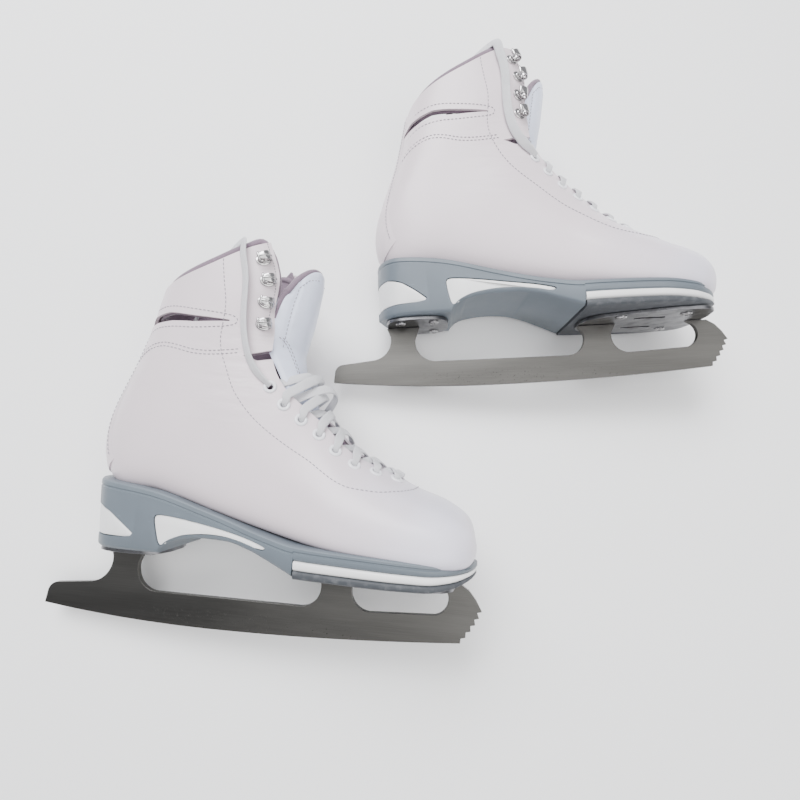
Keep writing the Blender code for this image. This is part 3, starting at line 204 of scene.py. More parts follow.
class Last:
    """The boot's outer surface. Places are given as feature ring i and feature cell j."""

    def __init__(self, side):
        rows = [(*b, *t, *rest) for b, t, *rest in SECTIONS]
        self.rings = (len(rows) - 1) * RINGS_PER_SPAN
        self.count = self.rings * FINE_ALONG + 1
        opening = [[w] for w in THROAT[side]]
        rings, self.open = [], []
        for k in range(self.count):
            t = k / (FINE_ALONG * RINGS_PER_SPAN)
            gap = max(float(catmull(opening, t)[0]), 0.0)
            gap = gap if gap >= 1.0 else 0.0
            self.open.append(gap > 0.0)
            rings.append(self.ring(catmull(rows, t), gap))
        self.points = np.array(rings)
        self.normals = self.outward()

    def ring(self, row, gap):
        half, high = row[4], row[8]
        end = 0.5 + math.acos(min(gap / half, 1.0) ** (high / 2)) / math.pi
        dense = np.array([section_point(row, a) for a in np.linspace(end, -end, 401)])
        run = run_along(dense)
        inner = np.linspace(FACING_WIDTH, run[-1] - FACING_WIDTH, CELLS - 1)
        if run[-1] < 3 * FACING_WIDTH:
            inner = np.linspace(0, run[-1], CELLS + 1)[1:-1]
        stops = np.concatenate([[0], inner, [run[-1]]])
        fine = np.interp(np.arange(CELLS * FINE_AROUND + 1) / FINE_AROUND, np.arange(CELLS + 1), stops)
        return np.stack([np.interp(fine, run, dense[:, k]) for k in range(3)], 1)

    def outward(self):
        p = self.points
        n = np.cross(np.gradient(p, axis=0), np.gradient(p, axis=1))
        centre = p.mean(axis=1, keepdims=True)
        flip = np.sum(n * (p - centre), axis=2, keepdims=True) < 0
        n = np.where(flip, -n, n)
        n /= np.maximum(np.linalg.norm(n, axis=2, keepdims=True), 1e-9)
        spread = p[0] - centre[0]
        spread /= np.linalg.norm(spread, axis=1, keepdims=True)
        n[0] = np.array((0.9, 0.0, 0.0)) + 0.44 * spread
        for i in range(self.count):
            if not self.open[i]:
                n[i, 0] = n[i, -1] = unit(n[i, 0] + n[i, -1])
        return n

    def offset(self, rise):
        return self.points + self.normals * rise

    def at(self, i, j, rise=0.0):
        """A point at feature ring i and cell j, moved out by rise."""
        i, j = i * FINE_ALONG, j * FINE_AROUND
        cols = CELLS * FINE_AROUND
        i0, j0 = int(np.clip(int(i), 0, self.count - 2)), int(np.clip(int(j), 0, cols - 1))
        fi, fj = i - i0, j - j0

        def corner(a, b):
            return self.points[a, b] + self.normals[a, b] * rise

        low = corner(i0, j0) * (1 - fj) + corner(i0, j0 + 1) * fj
        high = corner(i0 + 1, j0) * (1 - fj) + corner(i0 + 1, j0 + 1) * fj
        return low * (1 - fi) + high * fi

    def frame(self, i, j, rise=0.0):
        """Point, normal, direction towards the collar and direction across, at (i, j)."""
        here = self.at(i, j, rise)
        up = unit(self.at(min(i + 0.3, self.rings), j, rise) - self.at(max(i - 0.3, 0), j, rise))
        side = self.at(i, min(j + 0.3, CELLS), rise) - self.at(i, max(j - 0.3, 0), rise)
        normal = unit(np.cross(up, side))
        if np.dot(normal, self.at(i, j, rise + 1.0) - here) < 0:
            normal = -normal
        return here, normal, up, np.cross(normal, up)

    def along_edge(self, j, start, pitch, count, rise):
        steps = np.linspace(start, 0, 400)
        line = np.array([self.at(i, j, rise) for i in steps])
        run = np.concatenate([[0], np.cumsum(np.linalg.norm(np.diff(line, axis=0), axis=1))])
        return [float(np.interp(k * pitch, run, steps)) for k in range(count)]

    def on_side(self, x, z, sign, rise=0.0):
        """Point and normal of the side wall above (x, z), on the inner (+1) or outer side."""
        cols = CELLS * FINE_AROUND // 2
        part = slice(0, cols) if sign > 0 else slice(cols, None)
        p = self.points[:, part].reshape(-1, 3)
        n = self.normals[:, part].reshape(-1, 3)
        away = np.hypot(p[:, 0] - x, p[:, 2] - z)
        near = np.argsort(away)[:6]
        weight = 1.0 / (away[near] + 0.05) ** 2
        weight /= weight.sum()
        normal = unit((n[near] * weight[:, None]).sum(axis=0))
        point = np.array((x, float((p[near, 1] * weight).sum()), z))
        return point + normal * rise, normal


def cell_of(sign, j):
    """A cell number counted from the throat edge of one side: +1 inner, -1 outer side."""
    return j if sign > 0 else CELLS - j


LASTS = {side: Last(side) for side in SIDES}


def eyelet_rings(last):
    """Ring numbers of the eyelets, top one first."""
    return last.along_edge(0.5, 12.9, EYELET_PITCH, EYELETS, FACING_THICKNESS)


def hook_rings(last):
    """Ring numbers of the lace hooks, top one first."""
    return last.along_edge(0.5, 21.0, HOOK_PITCH, HOOKS, 0.0)


# ================================ mesh building ===================================
def place_of(side):
    """The matrix that takes a skate's own metres into the row's frame."""
    rest = REST[side]
    angles = (rest["top_lift"] - 90.0, -rest["toe_lift"], rest["heading"])
    turn = Euler([math.radians(a) for a in angles], "XYZ").to_matrix()
    joint = next(j for j in frame["joints"] if j["name"] == f"{side}_tongue_fold")
    hinge = Vector([c * MM for c in TONGUE_HINGE])
    return Matrix.Translation(Vector(joint["pos_m"]) - turn @ hinge) @ turn.to_4x4()


PLACES = {side: place_of(side) for side in SIDES}


def to_row(side, point):
    """A point of the right-hand pattern, in the row's frame, in metres."""
    mirror = REST[side]["mirror"]
    return PLACES[side] @ Vector((point[0] * MM, mirror * point[1] * MM, point[2] * MM))


def sheet(outer, inner):
    """Points and faces of the closed slab between two grids of points."""
    rows, cols = outer.shape[:2]
    size = rows * cols
    points = list(outer.reshape(-1, 3)) + list(inner.reshape(-1, 3))
    faces = []
    for i in range(rows - 1):
        for j in range(cols - 1):
            a, b = i * cols + j, (i + 1) * cols + j
            faces.append((a, a + 1, b + 1, b))
            faces.append((size + b, size + b + 1, size + a + 1, size + a))
    edge = [(0, j) for j in range(cols)]
    edge += [(i, cols - 1) for i in range(1, rows)]
    edge += [(rows - 1, j) for j in range(cols - 2, -1, -1)]
    edge += [(i, 0) for i in range(rows - 2, 0, -1)]
    ids = [i * cols + j for i, j in edge]
    for k, a in enumerate(ids):
        b = ids[(k + 1) % len(ids)]
        faces.append((b, a, size + a, size + b))
    return points, faces


def loft(rings, closed=False):
    """Closed rings joined in order, capped at both ends unless the loft is closed."""
    n = len(rings[0])
    points = [p for ring in rings for p in ring]
    faces = []
    spans = len(rings) if closed else len(rings) - 1
    for i in range(spans):
        for j in range(n):
            k = (j + 1) % n
            m = ((i + 1) % len(rings)) * n
            faces.append((i * n + j, i * n + k, m + k, m + j))
    if not closed:
        faces.append(tuple(range(n)))
        faces.append(tuple(range(len(points) - 1, len(points) - n - 1, -1)))
    return points, faces


def merged(parts):
    """Several shapes as one set of points and faces."""
    points, faces = [], []
    for pts, fcs in parts:
        start = len(points)
        points += list(pts)
        faces += [tuple(start + v for v in face) for face in fcs]
    return points, faces


def prism(outline, low, high, axis=1):
    """Points and faces of an outline extruded along Y (axis 1) or Z (axis 2)."""
    n = len(outline)
    points = []
    for level in (low, high):
        for u, v in outline:
            points.append((u, level, v) if axis == 1 else (u, v, level))
    faces = [tuple(range(n)), tuple(range(2 * n - 1, n - 1, -1))]
    faces += [(k, (k + 1) % n, n + (k + 1) % n, n + k) for k in range(n)]
    return points, faces


def tube_shell(outer, inner, opened, capped):
    """A bent sleeve between two grids, open at the throat where the rings are open."""
    rows, cols = outer.shape[:2]
    size = rows * cols
    points = list(outer.reshape(-1, 3)) + list(inner.reshape(-1, 3))
    faces = []
    for i in range(rows - 1):
        for j in range(cols - 1):
            a, b = i * cols + j, (i + 1) * cols + j
            faces.append((a, a + 1, b + 1, b))
            faces.append((size + b, size + b + 1, size + a + 1, size + a))
        if opened[i] or opened[i + 1]:
            for j in (0, cols - 1):
                a, b = i * cols + j, (i + 1) * cols + j
                faces.append((a, b, size + b, size + a))
    last = (rows - 1) * cols
    for j in range(cols - 1):
        faces.append((last + j, last + j + 1, size + last + j + 1, size + last + j))
    if capped:
        faces.append(tuple(range(cols - 1)))
        faces.append(tuple(size + j for j in range(cols - 2, -1, -1)))
    else:
        for j in range(cols - 1):
            faces.append((j, j + 1, size + j + 1, size + j))
    return points, faces


def sweep(path, ups, profile):
    """A closed profile of (across, up) points carried along a path."""
    rings = []
    for k, p in enumerate(path):
        step = heading(path, k)
        across = unit(np.cross(step, ups[k]))
        up = np.cross(across, step)
        shape = profile(k / (len(path) - 1)) if callable(profile) else profile
        rings.append([p + across * a + up * b for a, b in shape])
    return loft(rings)


def oval(width, height, sides=10, square=1.0):
    """A closed oval; squareness under 1 makes it boxy."""
    out = []
    for k in range(sides):
        c, s = math.cos(2 * math.pi * k / sides), math.sin(2 * math.pi * k / sides)
        out.append((
            width / 2 * math.copysign(abs(c) ** square, c),
            height / 2 * math.copysign(abs(s) ** square, s),
        ))
    return out


def lathe(centre, axis, profile, sides=24):
    """A turned shape: profile is (radius, height) pairs along the axis."""
    axis = unit(axis)
    first = unit(np.cross(axis, (0.31, 0.67, 0.12)))
    second = np.cross(axis, first)
    rings = []
    for r, h in profile:
        rings.append([
            centre + axis * h + (first * math.cos(t) + second * math.sin(t)) * r
            for t in np.linspace(0, 2 * math.pi, sides, endpoint=False)
        ])
    return loft(rings)


def new_piece(side, name, shape, mat, smooth=40.0, merge=0.01):
    """One mesh object of a skate from points and faces in its own millimetres."""
    points, faces = shape
    mesh = bpy.data.meshes.new(f"{side}_{name}")
    mesh.from_pydata([to_row(side, p) for p in points], [], faces)
    bm = bmesh.new()
    bm.from_mesh(mesh)
    bmesh.ops.remove_doubles(bm, verts=bm.verts, dist=merge * MM)
    bmesh.ops.recalc_face_normals(bm, faces=bm.faces)
    bm.to_mesh(mesh)
    bm.free()
    mesh.shade_smooth()
    mesh.set_sharp_from_angle(angle=math.radians(smooth))
    obj = bpy.data.objects.new(f"{side}_{name}", mesh)
    bpy.context.scene.collection.objects.link(obj)
    if mat:
        mesh.materials.append(mat)
    return obj


def cut(obj, cutters, operation="DIFFERENCE"):
    """Cut an object with others, apply it and remove the cutters."""
    for other in cutters:
        mod = obj.modifiers.new("cut", "BOOLEAN")
        mod.solver = "EXACT"
        mod.operation = operation
        mod.object = other
    graph = bpy.context.evaluated_depsgraph_get()
    mesh = bpy.data.meshes.new_from_object(obj.evaluated_get(graph))
    obj.modifiers.clear()
    old = obj.data
    obj.data = mesh
    bpy.data.meshes.remove(old)
    for other in cutters:
        bpy.data.objects.remove(other, do_unlink=True)


def fit(obj, side, nodes=(), body="skate"):
    """Let a piece ride on its skate and stand for CAD nodes, which it hides."""
    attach(obj, f"{side}_{body}")
    if nodes:
        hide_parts(*[f"{side}_{n}" for n in nodes])
    return obj


# =================================== finishes =====================================
class Value:
    """A shader value that is reckoned with like a number; each step adds its Math node."""

    def __init__(self, paint, socket):
        self.paint = paint
        self.socket = socket

    def made(self, operation, *values):
        return self.paint.node("ShaderNodeMath", {"operation": operation}, dict(enumerate(values)))

    def __add__(self, other):
        return self.made("ADD", self, other)

    __radd__ = __add__

    def __mul__(self, other):
        return self.made("MULTIPLY", self, other)

    __rmul__ = __mul__

    def __sub__(self, other):
        return self.made("SUBTRACT", self, other)

    def __rsub__(self, other):
        return self.made("SUBTRACT", other, self)

    def __truediv__(self, other):
        return self.made("DIVIDE", self, other)

    def __pow__(self, other):
        return self.made("POWER", self, other)

    def sine(self):
        return self.made("SINE", self)

    def absolute(self):
        return self.made("ABSOLUTE", self)

    def between(self, low, high):
        """0 below low, 1 above high, and smooth between them."""
        return self.paint.node(
            "ShaderNodeMapRange",
            {"interpolation_type": "SMOOTHSTEP"},
            {"Value": self, "From Min": low, "From Max": high},
        )


class Paint:
    """One side's material: its Principled shader and the skate's own coordinates."""

    def __init__(self, side, name, **constants):
        self.material = bpy.data.materials.new(f"{side}_{name}")
        self.material.use_nodes = True
        self.tree = self.material.node_tree
        self.shader = self.tree.nodes["Principled BSDF"]
        for key, value in constants.items():
            self.shader.inputs[key.replace("_", " ")].default_value = value
        place = PLACES[side]
        self.own = self.node(
            "ShaderNodeMapping",
            {"vector_type": "TEXTURE"},
            {
                "Vector": self.node("ShaderNodeTexCoord", output="Object"),
                "Location": place.translation,
                "Rotation": place.to_euler("XYZ"),
                "Scale": (MM, MM, MM),
            },
        )

    def feed(self, slot, value):
        if isinstance(value, Value):
            self.tree.links.new(value.socket, slot)
        else:
            slot.default_value = value

    def node(self, kind, settings=None, sockets=None, output=0):
        made = self.tree.nodes.new(kind)
        for key, value in (settings or {}).items():
            setattr(made, key, value)
        for key, value in (sockets or {}).items():
            self.feed(made.inputs[key], value)
        return Value(self, made.outputs[output])

    def stretched(self, *scales):
        """The skate's own millimetres, scaled along its three axes."""
        return self.node(
            "ShaderNodeVectorMath", {"operation": "MULTIPLY"}, {0: self.own, 1: scales}
        )

    def noise(self, size, detail=3.0, rough=0.5, vector=None):
        """Noise from 0 to 1 with features of that many millimetres."""
        vector = vector or self.own
        sockets = {"Vector": vector, "Scale": 1.0 / size, "Detail": detail, "Roughness": rough}
        return self.node("ShaderNodeTexNoise", None, sockets)

    def cells(self, size, vector=None):
        """Distance to the nearest cell's middle, in pebbles of that many millimetres."""
        sockets = {"Vector": vector or self.own, "Scale": 1.0 / size}
        return self.node("ShaderNodeTexVoronoi", None, sockets)

    def axis(self, letter):
        return self.node("ShaderNodeSeparateXYZ", None, {"Vector": self.own}, "XYZ".index(letter))

    def mix(self, share, first, second):
        first = first if isinstance(first, Value) else (*first[:3], 1.0)
        second = second if isinstance(second, Value) else (*second[:3], 1.0)
        sockets = {0: share, 6: first, 7: second}
        return self.node("ShaderNodeMix", {"data_type": "RGBA"}, sockets, 2)

    def colour(self, value):
        self.feed(self.shader.inputs["Base Color"], value)
        return self

    def rough(self, value):
        self.feed(self.shader.inputs["Roughness"], value)
        return self

    def relief(self, height):
        """Bump from a height in millimetres."""
        bump = self.node("ShaderNodeBump", None, {"Height": height, "Strength": 1.0, "Distance": MM})
        self.feed(self.shader.inputs["Normal"], bump)
        return self


def shade(colour, factor):
    """A colour made darker or paler."""
    return tuple(min(c * factor, 1.0) for c in colour[:3])


def pearl_leather(side, looks):
    paint = Paint(side, "pearl_leather", Coat_Weight=0.25, Coat_Roughness=0.22, IOR=1.48)
    base = looks.leather
    toe = paint.axis("X").between(190.0, 315.0)
    cool = paint.mix(toe * 0.85, base, looks.leather_toe)
    clouds = paint.noise(38.0, 2.0).between(0.35, 0.75)
    tone = paint.mix(clouds * 0.5, cool, shade(base, 0.955))
    # Patches darker towards the bottom of the boot: scuffs, with painted shade low down; the same patches
    # are also rougher.
    scuffs_and_low_shade = paint.noise(7.0, 4.0, 0.62).between(0.66, 0.78)
    low = 1.0 - paint.axis("Z").between(60.0, 130.0)
    paint.colour(paint.mix(scuffs_and_low_shade * low * 0.35, tone, shade(base, 0.72)))
    paint.rough(0.36 + paint.noise(24.0, 3.0) * 0.10 + scuffs_and_low_shade * 0.12)
    grain = paint.cells(0.9) * 0.014 + paint.noise(0.5, 2.0) * 0.008
    ankle = paint.axis("Z").between(120.0, 165.0) * (1.0 - paint.axis("Z").between(195.0, 225.0))
    front = paint.axis("X").between(95.0, 150.0)
    folds = paint.noise(1.0, 2.5, 0.5, paint.stretched(0.035, 0.05, 0.13))
    soft = paint.noise(26.0, 1.5) * 0.35
    return paint.relief(grain + folds * ankle * front * 1.1 + soft).material


def back_strip_leather(side, looks):
    paint = Paint(side, "back_strip_leather", Coat_Weight=0.2, Coat_Roughness=0.25)
    clouds = paint.noise(20.0, 2.0).between(0.35, 0.7)
    paint.colour(paint.mix(clouds, shade(looks.leather, 1.06), shade(looks.leather, 0.98)))
    paint.rough(0.38 + paint.noise(9.0) * 0.12)
    return paint.relief(paint.cells(0.9) * 0.02 + paint.noise(3.0) * 0.03).material


def soft_tongue(side, looks):
    paint = Paint(side, "tongue_leather", Coat_Weight=0.3, Coat_Roughness=0.2)
    clouds = paint.noise(22.0, 2.0).between(0.3, 0.75)
    paint.colour(paint.mix(clouds, looks.tongue, shade(looks.tongue, 0.93)))
    paint.rough(0.30 + paint.noise(14.0) * 0.14)
    creases = paint.noise(1.0, 3.0, 0.55, paint.stretched(0.05, 0.06, 0.11))
    return paint.relief(paint.cells(0.9) * 0.016 + creases * 0.9).material


def brushed_lining(side, looks):
    paint = Paint(side, "lining_cloth", Sheen_Weight=0.5, Sheen_Roughness=0.4, Roughness=0.92)
    pile = paint.noise(0.7, 3.0, 0.6)
    patches = paint.noise(16.0, 2.0).between(0.3, 0.7)
    tone = paint.mix(patches, looks.lining, shade(looks.lining, 0.8))
    paint.colour(paint.mix(pile.between(0.35, 0.75), shade(looks.lining, 0.72), tone))
    return paint.relief(pile * 0.35 + patches * 0.2).material


def felt(side, looks):
    paint = Paint(side, "footbed_felt", Sheen_Weight=0.3, Roughness=0.95)
    fibre = paint.noise(0.6, 4.0, 0.7)
    paint.colour(paint.mix(fibre.between(0.3, 0.7), (0.42, 0.40, 0.44), (0.62, 0.60, 0.65)))
    return paint.relief(fibre * 0.3).material


def woven_lace(side, looks):
    """A flat braid: two sets of yarns that cross at a slant, with raised edges."""
    paint = Paint(side, "lace_braid", Sheen_Weight=0.25, Roughness=0.86)
    place = paint.node("ShaderNodeUVMap", {"uv_map": "braid"})
    across = paint.node("ShaderNodeSeparateXYZ", None, {"Vector": place}, 0)
    along = paint.node("ShaderNodeSeparateXYZ", None, {"Vector": place}, 1)
    turn = 2 * math.pi / looks.yarn_pitch
    one = ((across + along) * turn).sine()
    two = ((across - along) * turn).sine()
    weave = one * two
    yarn = weave.absolute() ** 0.5
    fuzz = paint.noise(0.5, 3.0)
    grime = paint.noise(18.0, 3.0).between(0.45, 0.75)
    tone = paint.mix(grime * 0.6, looks.lace, shade(looks.lace, 0.78))
    # Darker in the low gaps between the yarns: painted shade.
    paint.colour(paint.mix(yarn, shade(looks.lace, 0.70), tone))
    return paint.relief(yarn * 0.22 + weave * 0.06 + fuzz * 0.06).material


def thread(side, looks):
    paint = Paint(side, "seam_thread", Sheen_Weight=0.3, Roughness=0.7)
    ply = paint.noise(0.5, 2.0)
    paint.colour(paint.mix(ply, shade(looks.thread, 0.8), shade(looks.thread, 1.15)))
    return paint.relief(ply * 0.06).material


def moulded_grey(side, looks):
    paint = Paint(side, "sole_moulding", Coat_Weight=0.12, Coat_Roughness=0.3)
    clouds = paint.noise(30.0, 3.0).between(0.3, 0.72)
    # Darker towards the sole's bottom edge: painted shade on its underside.
    lower = 1.0 - paint.axis("Z").between(46.0, 66.0)
    tone = paint.mix(clouds * 0.45, looks.sole_grey, shade(looks.sole_grey, 1.22))
    tone = paint.mix(lower * 0.35, tone, shade(looks.sole_grey, 0.7))
    rubs = paint.noise(1.0, 5.0, 0.65, paint.stretched(0.05, 0.5, 0.5)).between(0.64, 0.74)
    paint.colour(paint.mix(rubs * 0.3, tone, shade(looks.sole_grey, 1.8)))
    paint.rough(0.40 + paint.noise(10.0, 3.0) * 0.12 + rubs * 0.15)
    return paint.relief(paint.noise(0.6, 2.0) * 0.018 + rubs * 0.02).material


def moulded_white(side, looks):
    paint = Paint(side, "sole_white_moulding", Coat_Weight=0.2, Coat_Roughness=0.2)
    clouds = paint.noise(14.0, 3.0).between(0.3, 0.75)
    marks = paint.noise(3.0, 5.0, 0.7).between(0.66, 0.76)
    tone = paint.mix(clouds * 0.6, looks.sole_white, shade(looks.sole_white, 0.90))
    paint.colour(paint.mix(marks * 0.35, tone, shade(looks.sole_white, 0.55)))
    paint.rough(0.32 + clouds * 0.12)
    return paint.relief(paint.noise(0.7, 2.0) * 0.012).material


def tread_rubber(side, looks):
    paint = Paint(side, "tread_rubber", Specular_IOR_Level=0.35)
    dust = paint.noise(6.0, 4.0, 0.6).between(0.45, 0.75)
    paint.colour(paint.mix(dust, (0.055, 0.06, 0.068), (0.11, 0.115, 0.125)))
    paint.rough(0.52 + dust * 0.25)
    return paint.relief(paint.cells(1.3) * 0.08).material


def dark_plate(side, looks):
    paint = Paint(side, "mounting_plate", Metallic=1.0)
    lines = paint.noise(1.0, 3.0, 0.6, paint.stretched(0.08, 2.2, 1.0))
    stain = paint.noise(9.0, 3.0).between(0.4, 0.75)
    paint.colour(paint.mix(stain, (0.19, 0.19, 0.20), (0.11, 0.11, 0.115)))
    paint.rough(0.20 + lines * 0.18 + stain * 0.08)
    return paint.relief(lines * 0.012).material


def bright_chrome(side, looks):
    paint = Paint(side, "bright_plating", Metallic=1.0)
    haze = paint.noise(3.0, 3.0).between(0.4, 0.8)
    paint.colour(paint.mix(haze, (0.56, 0.55, 0.55), (0.38, 0.37, 0.37)))
    paint.rough(0.10 + haze * 0.12)
    return paint.relief(paint.noise(1.2, 2.0) * 0.01).material


def screw_steel(side, looks):
    paint = Paint(side, "screw_plating", Metallic=1.0)
    haze = paint.noise(2.0, 3.0).between(0.35, 0.7)
    paint.colour(paint.mix(haze, (0.52, 0.52, 0.53), (0.28, 0.27, 0.27)))
    paint.rough(0.22 + haze * 0.2)
    return paint.relief(paint.noise(0.8, 2.0) * 0.01).material


def white_enamel(side, looks):
    paint = Paint(side, "eyelet_enamel", Coat_Weight=0.5, Coat_Roughness=0.12)
    chips = paint.noise(1.2, 4.0, 0.6).between(0.66, 0.74)
    paint.colour(paint.mix(chips * 0.6, (0.84, 0.84, 0.88), (0.42, 0.41, 0.42)))
    paint.rough(0.28 + chips * 0.3)
    return paint.relief(chips * -0.04).material


def brushed_steel(side, looks):
    """Ground blade steel: fine scratches lengthwise, and pits along the running edge."""
    paint = Paint(side, "blade_steel", Metallic=1.0, Anisotropic=0.45)
    fine = paint.noise(1.0, 4.0, 0.7, paint.stretched(0.025, 1.0, 2.6))
    broad = paint.noise(1.0, 2.0, 0.5, paint.stretched(0.012, 0.2, 0.09)).between(0.3, 0.7)
    tone = paint.mix(broad, looks.steel, shade(looks.steel, 0.82))
    tone = paint.mix(fine.between(0.35, 0.7) * 0.4, tone, shade(looks.steel, 1.25))
    edge = 1.0 - paint.axis("Z").between(0.0, 11.0)
    strip = paint.axis("X").between(40.0, 110.0) * (1.0 - paint.axis("X").between(215.0, 262.0))
    pits = paint.noise(1.6, 5.0, 0.75).between(0.60, 0.66) * edge * strip
    paint.colour(paint.mix(pits * 0.75, tone, shade(looks.steel, 0.32)))
    paint.rough(0.27 + fine * 0.16 + pits * 0.35)
    return paint.relief(fine * 0.010 - pits * 0.05).material


FINISHES = {
    "leather": pearl_leather,
    "back_strip": back_strip_leather,
    "tongue": soft_tongue,
    "lining": brushed_lining,
    "footbed": felt,
    "lace": woven_lace,
    "thread": thread,
    "sole_grey": moulded_grey,
    "sole_white": moulded_white,
    "tread": tread_rubber,
    "plate": dark_plate,
    "chrome": bright_chrome,
    "screw": screw_steel,
    "enamel": white_enamel,
    "steel": brushed_steel,
}
MADE = {}


def finish_of(side, kind, looks):
    """The material of one finish on one skate, made the first time it is asked for."""
    if (side, kind) not in MADE:
        MADE[side, kind] = FINISHES[kind](side, looks)
    return MADE[side, kind]


# =================================== the boot =====================================
def boot_cutters(last):
    """Ankle slit, flex notch and eyelet holes as closed shapes to cut with."""
    slit = list(SLIT_TOP) + list(reversed(SLIT_BOTTOM))
    shapes = [prism(slit, -80.0, 80.0), prism(NOTCH, -80.0, 80.0)]
    for sign in (1, -1):
        for i in eyelet_rings(last):
            here, normal, _, _ = last.frame(i, cell_of(sign, 0.5))
            shapes.append(lathe(here, normal, ((2.2, -7.5), (2.2, 3.0)), 16))
    return merged(shapes)


def back_half(ring, wide):
    """Half width of the back strip in cells: it narrows towards the collar."""
    return wide - 0.55 * max(0.0, (ring - 18.5) / 3.5)


def make_upper(side, looks):
    last = LASTS[side]
    shell = tube_shell(last.offset(0.0), last.offset(-LEATHER), last.open, True)
    leather = finish_of(side, "leather", looks)
    upper = new_piece(side, "boot_leather", shell, leather, smooth=55.0)
    cut(upper, [new_piece(side, "boot_holes", boot_cutters(last), None)])
    upper.data.shade_smooth()
    upper.data.set_sharp_from_angle(angle=math.radians(45.0))
    fit(upper, side, ["upper"])

    columns = np.linspace(-1, 1, 13)
    outer, inner = [], []
    for i in np.linspace(16.6, last.rings - 0.05, 50):
        half = back_half(i, 1.42)
        top = [0.12 + 0.95 * (1 - abs(c) ** 14) for c in columns]
        outer.append([last.at(i, CELLS / 2 + c * half, t) for c, t in zip(columns, top)])
        inner.append([last.at(i, CELLS / 2 + c * half, 0.05) for c in columns])
    strip = sheet(np.array(outer), np.array(inner))
    obj = new_piece(side, "back_strip", strip, finish_of(side, "back_strip", looks), smooth=50.0)
    fit(obj, side, ["backstay"])


def make_lining(side, looks):
    last = LASTS[side]
    first = 8 * FINE_ALONG
    outer = last.offset(-LEATHER - INTERLINING)[first:]
    inner = last.offset(-LEATHER - INTERLINING - LINING)[first:]
    for grid in (outer, inner):
        rise = grid[-1] - grid[-2]
        rise /= np.linalg.norm(rise, axis=1, keepdims=True)
        grid[-1] += rise * LINING_ROLL * 0.55
    cloth = finish_of(side, "lining", looks)
    shell = tube_shell(outer, inner, last.open[first:], False)
    lining = new_piece(side, "boot_lining", shell, cloth, smooth=55.0)
    cut(lining, [new_piece(side, "lining_holes", boot_cutters(last), None)])
    fit(lining, side, ["lining"])

    depth = -LEATHER - 1.7
    knots = [last.at(i, 0.02, depth) for i in np.linspace(16.9, 21.2, 8)]
    top = (outer[-1] + inner[-1]) / 2
    knots += [p + np.array((0.0, 0.0, 0.9)) for p in top[1:-1:3]]
    knots += [last.at(i, CELLS - 0.02, depth) for i in np.linspace(21.2, 16.9, 8)]
    path = smooth_path(knots, 190)
    middle = path.mean(axis=0)
    ups = [unit(p - middle) for p in path]

    def roll(share):
        swell = 1.0 + 0.25 * math.sin(math.pi * share) ** 0.5
        thick = looks.roll_width / MM * swell
        return oval(thick, thick * 0.92, 12)

    edge = new_piece(side, "collar_roll", sweep(path, ups, roll), cloth, smooth=70.0)
    fit(edge, side, ())


def make_footbed(side, looks):
    last = LASTS[side]
    columns = np.linspace(CELLS / 2 - 2, CELLS / 2 + 2, 17)
    rows = np.linspace(5.0, 15.0, 60)
    top = -(LEATHER + INTERLINING + LINING + FIT)
    outer = np.array([[last.at(i, j, top) for j in columns] for i in rows])
    inner = np.array([[last.at(i, j, top - FOOTBED) for j in columns] for i in rows])
    obj = new_piece(side, "insole", sheet(outer, inner), finish_of(side, "footbed", looks))
    fit(obj, side, ["footbed"])


def eyelet_ring(here, normal, up, across, radius):
    """A rolled enamel ring whose barrel goes down through the leather."""
    profile = (
        (2.15, -3.2), (2.15, 0.1), (2.45, 0.75), (3.1, 1.15), (radius - 0.7, 1.0),
        (radius - 0.1, 0.45), (radius, 0.05), (radius - 0.3, -0.25), (2.9, -0.3), (2.75, -3.2),
    )
    rings = []
    for t in np.linspace(0, 2 * math.pi, 32, endpoint=False):
        out = up * math.cos(t) + across * math.sin(t)
        rings.append([here + out * r + normal * h for r, h in profile])
    return loft(rings, closed=True)


def make_eyelets(side, looks):
    last = LASTS[side]
    shapes = []
    for sign in (1, -1):
        for i in eyelet_rings(last):
            frame_at = last.frame(i, cell_of(sign, 0.5))
            shapes.append(eyelet_ring(*frame_at, looks.eyelet_radius / MM))
    obj = new_piece(side, "eyelets", merged(shapes), finish_of(side, "enamel", looks), smooth=60.0)
    fit(obj, side, ["facing_medial", "facing_lateral"])


def hook_parts(here, normal, up, away, width):
    """Base plate, rivet dome and the strip that curls over away from the throat."""
    plate = []
    for level, grow in ((-0.2, 0.0), (0.5, 0.1), (0.95, -0.45), (1.0, -1.2)):
        ring = []
        for t in np.linspace(0, 2 * math.pi, 28, endpoint=False):
            ring.append(
                here + normal * level - away * (5.6 + grow) * math.cos(t)
                + up * (4.3 + grow) * math.sin(t)
            )
        plate.append(ring)
    dome = lathe(
        here + away * 1.5 + normal * 0.9, normal,
        ((2.5, -0.2), (2.45, 0.4), (2.0, 1.0), (1.2, 1.4), (0.3, 1.55)), 20,
    )
    line = ((-1.0, 1.2), (1.6, 1.25), (3.6, 1.7), (4.7, 3.2), (4.5, 5.1), (3.0, 6.6), (0.6, 7.3),
            (-1.8, 7.1), (-3.8, 6.2))
    path = smooth_path([here - away * u + normal * v for u, v in line], 34)
    ups = []
    for k in range(len(path)):
        step = heading(path, k)
        ups.append(np.cross(step, up))

    def strip(share):
        flare = 0.86 + 0.30 * math.sin(math.pi * min(share, 1.0)) ** 2 - 0.1 * share
        return oval(width * flare, 1.25, 16, 0.55)

    tip = path[-1]

    def bead_shape(share):
        thick = 2.3 * (1 - 0.6 * abs(2 * share - 1) ** 5)
        return oval(thick, thick, 12)

    spots = [tip + up * a for a in np.linspace(-width * 0.52, width * 0.52, 9)]
    bead = sweep(spots, [normal] * 9, bead_shape)
    ridge = sweep(path[6:], ups[6:], lambda s: [(a, b + 0.55) for a, b in oval(1.5, 1.3, 8)])
    return [loft(plate), dome, sweep(path, ups, strip), bead, ridge]


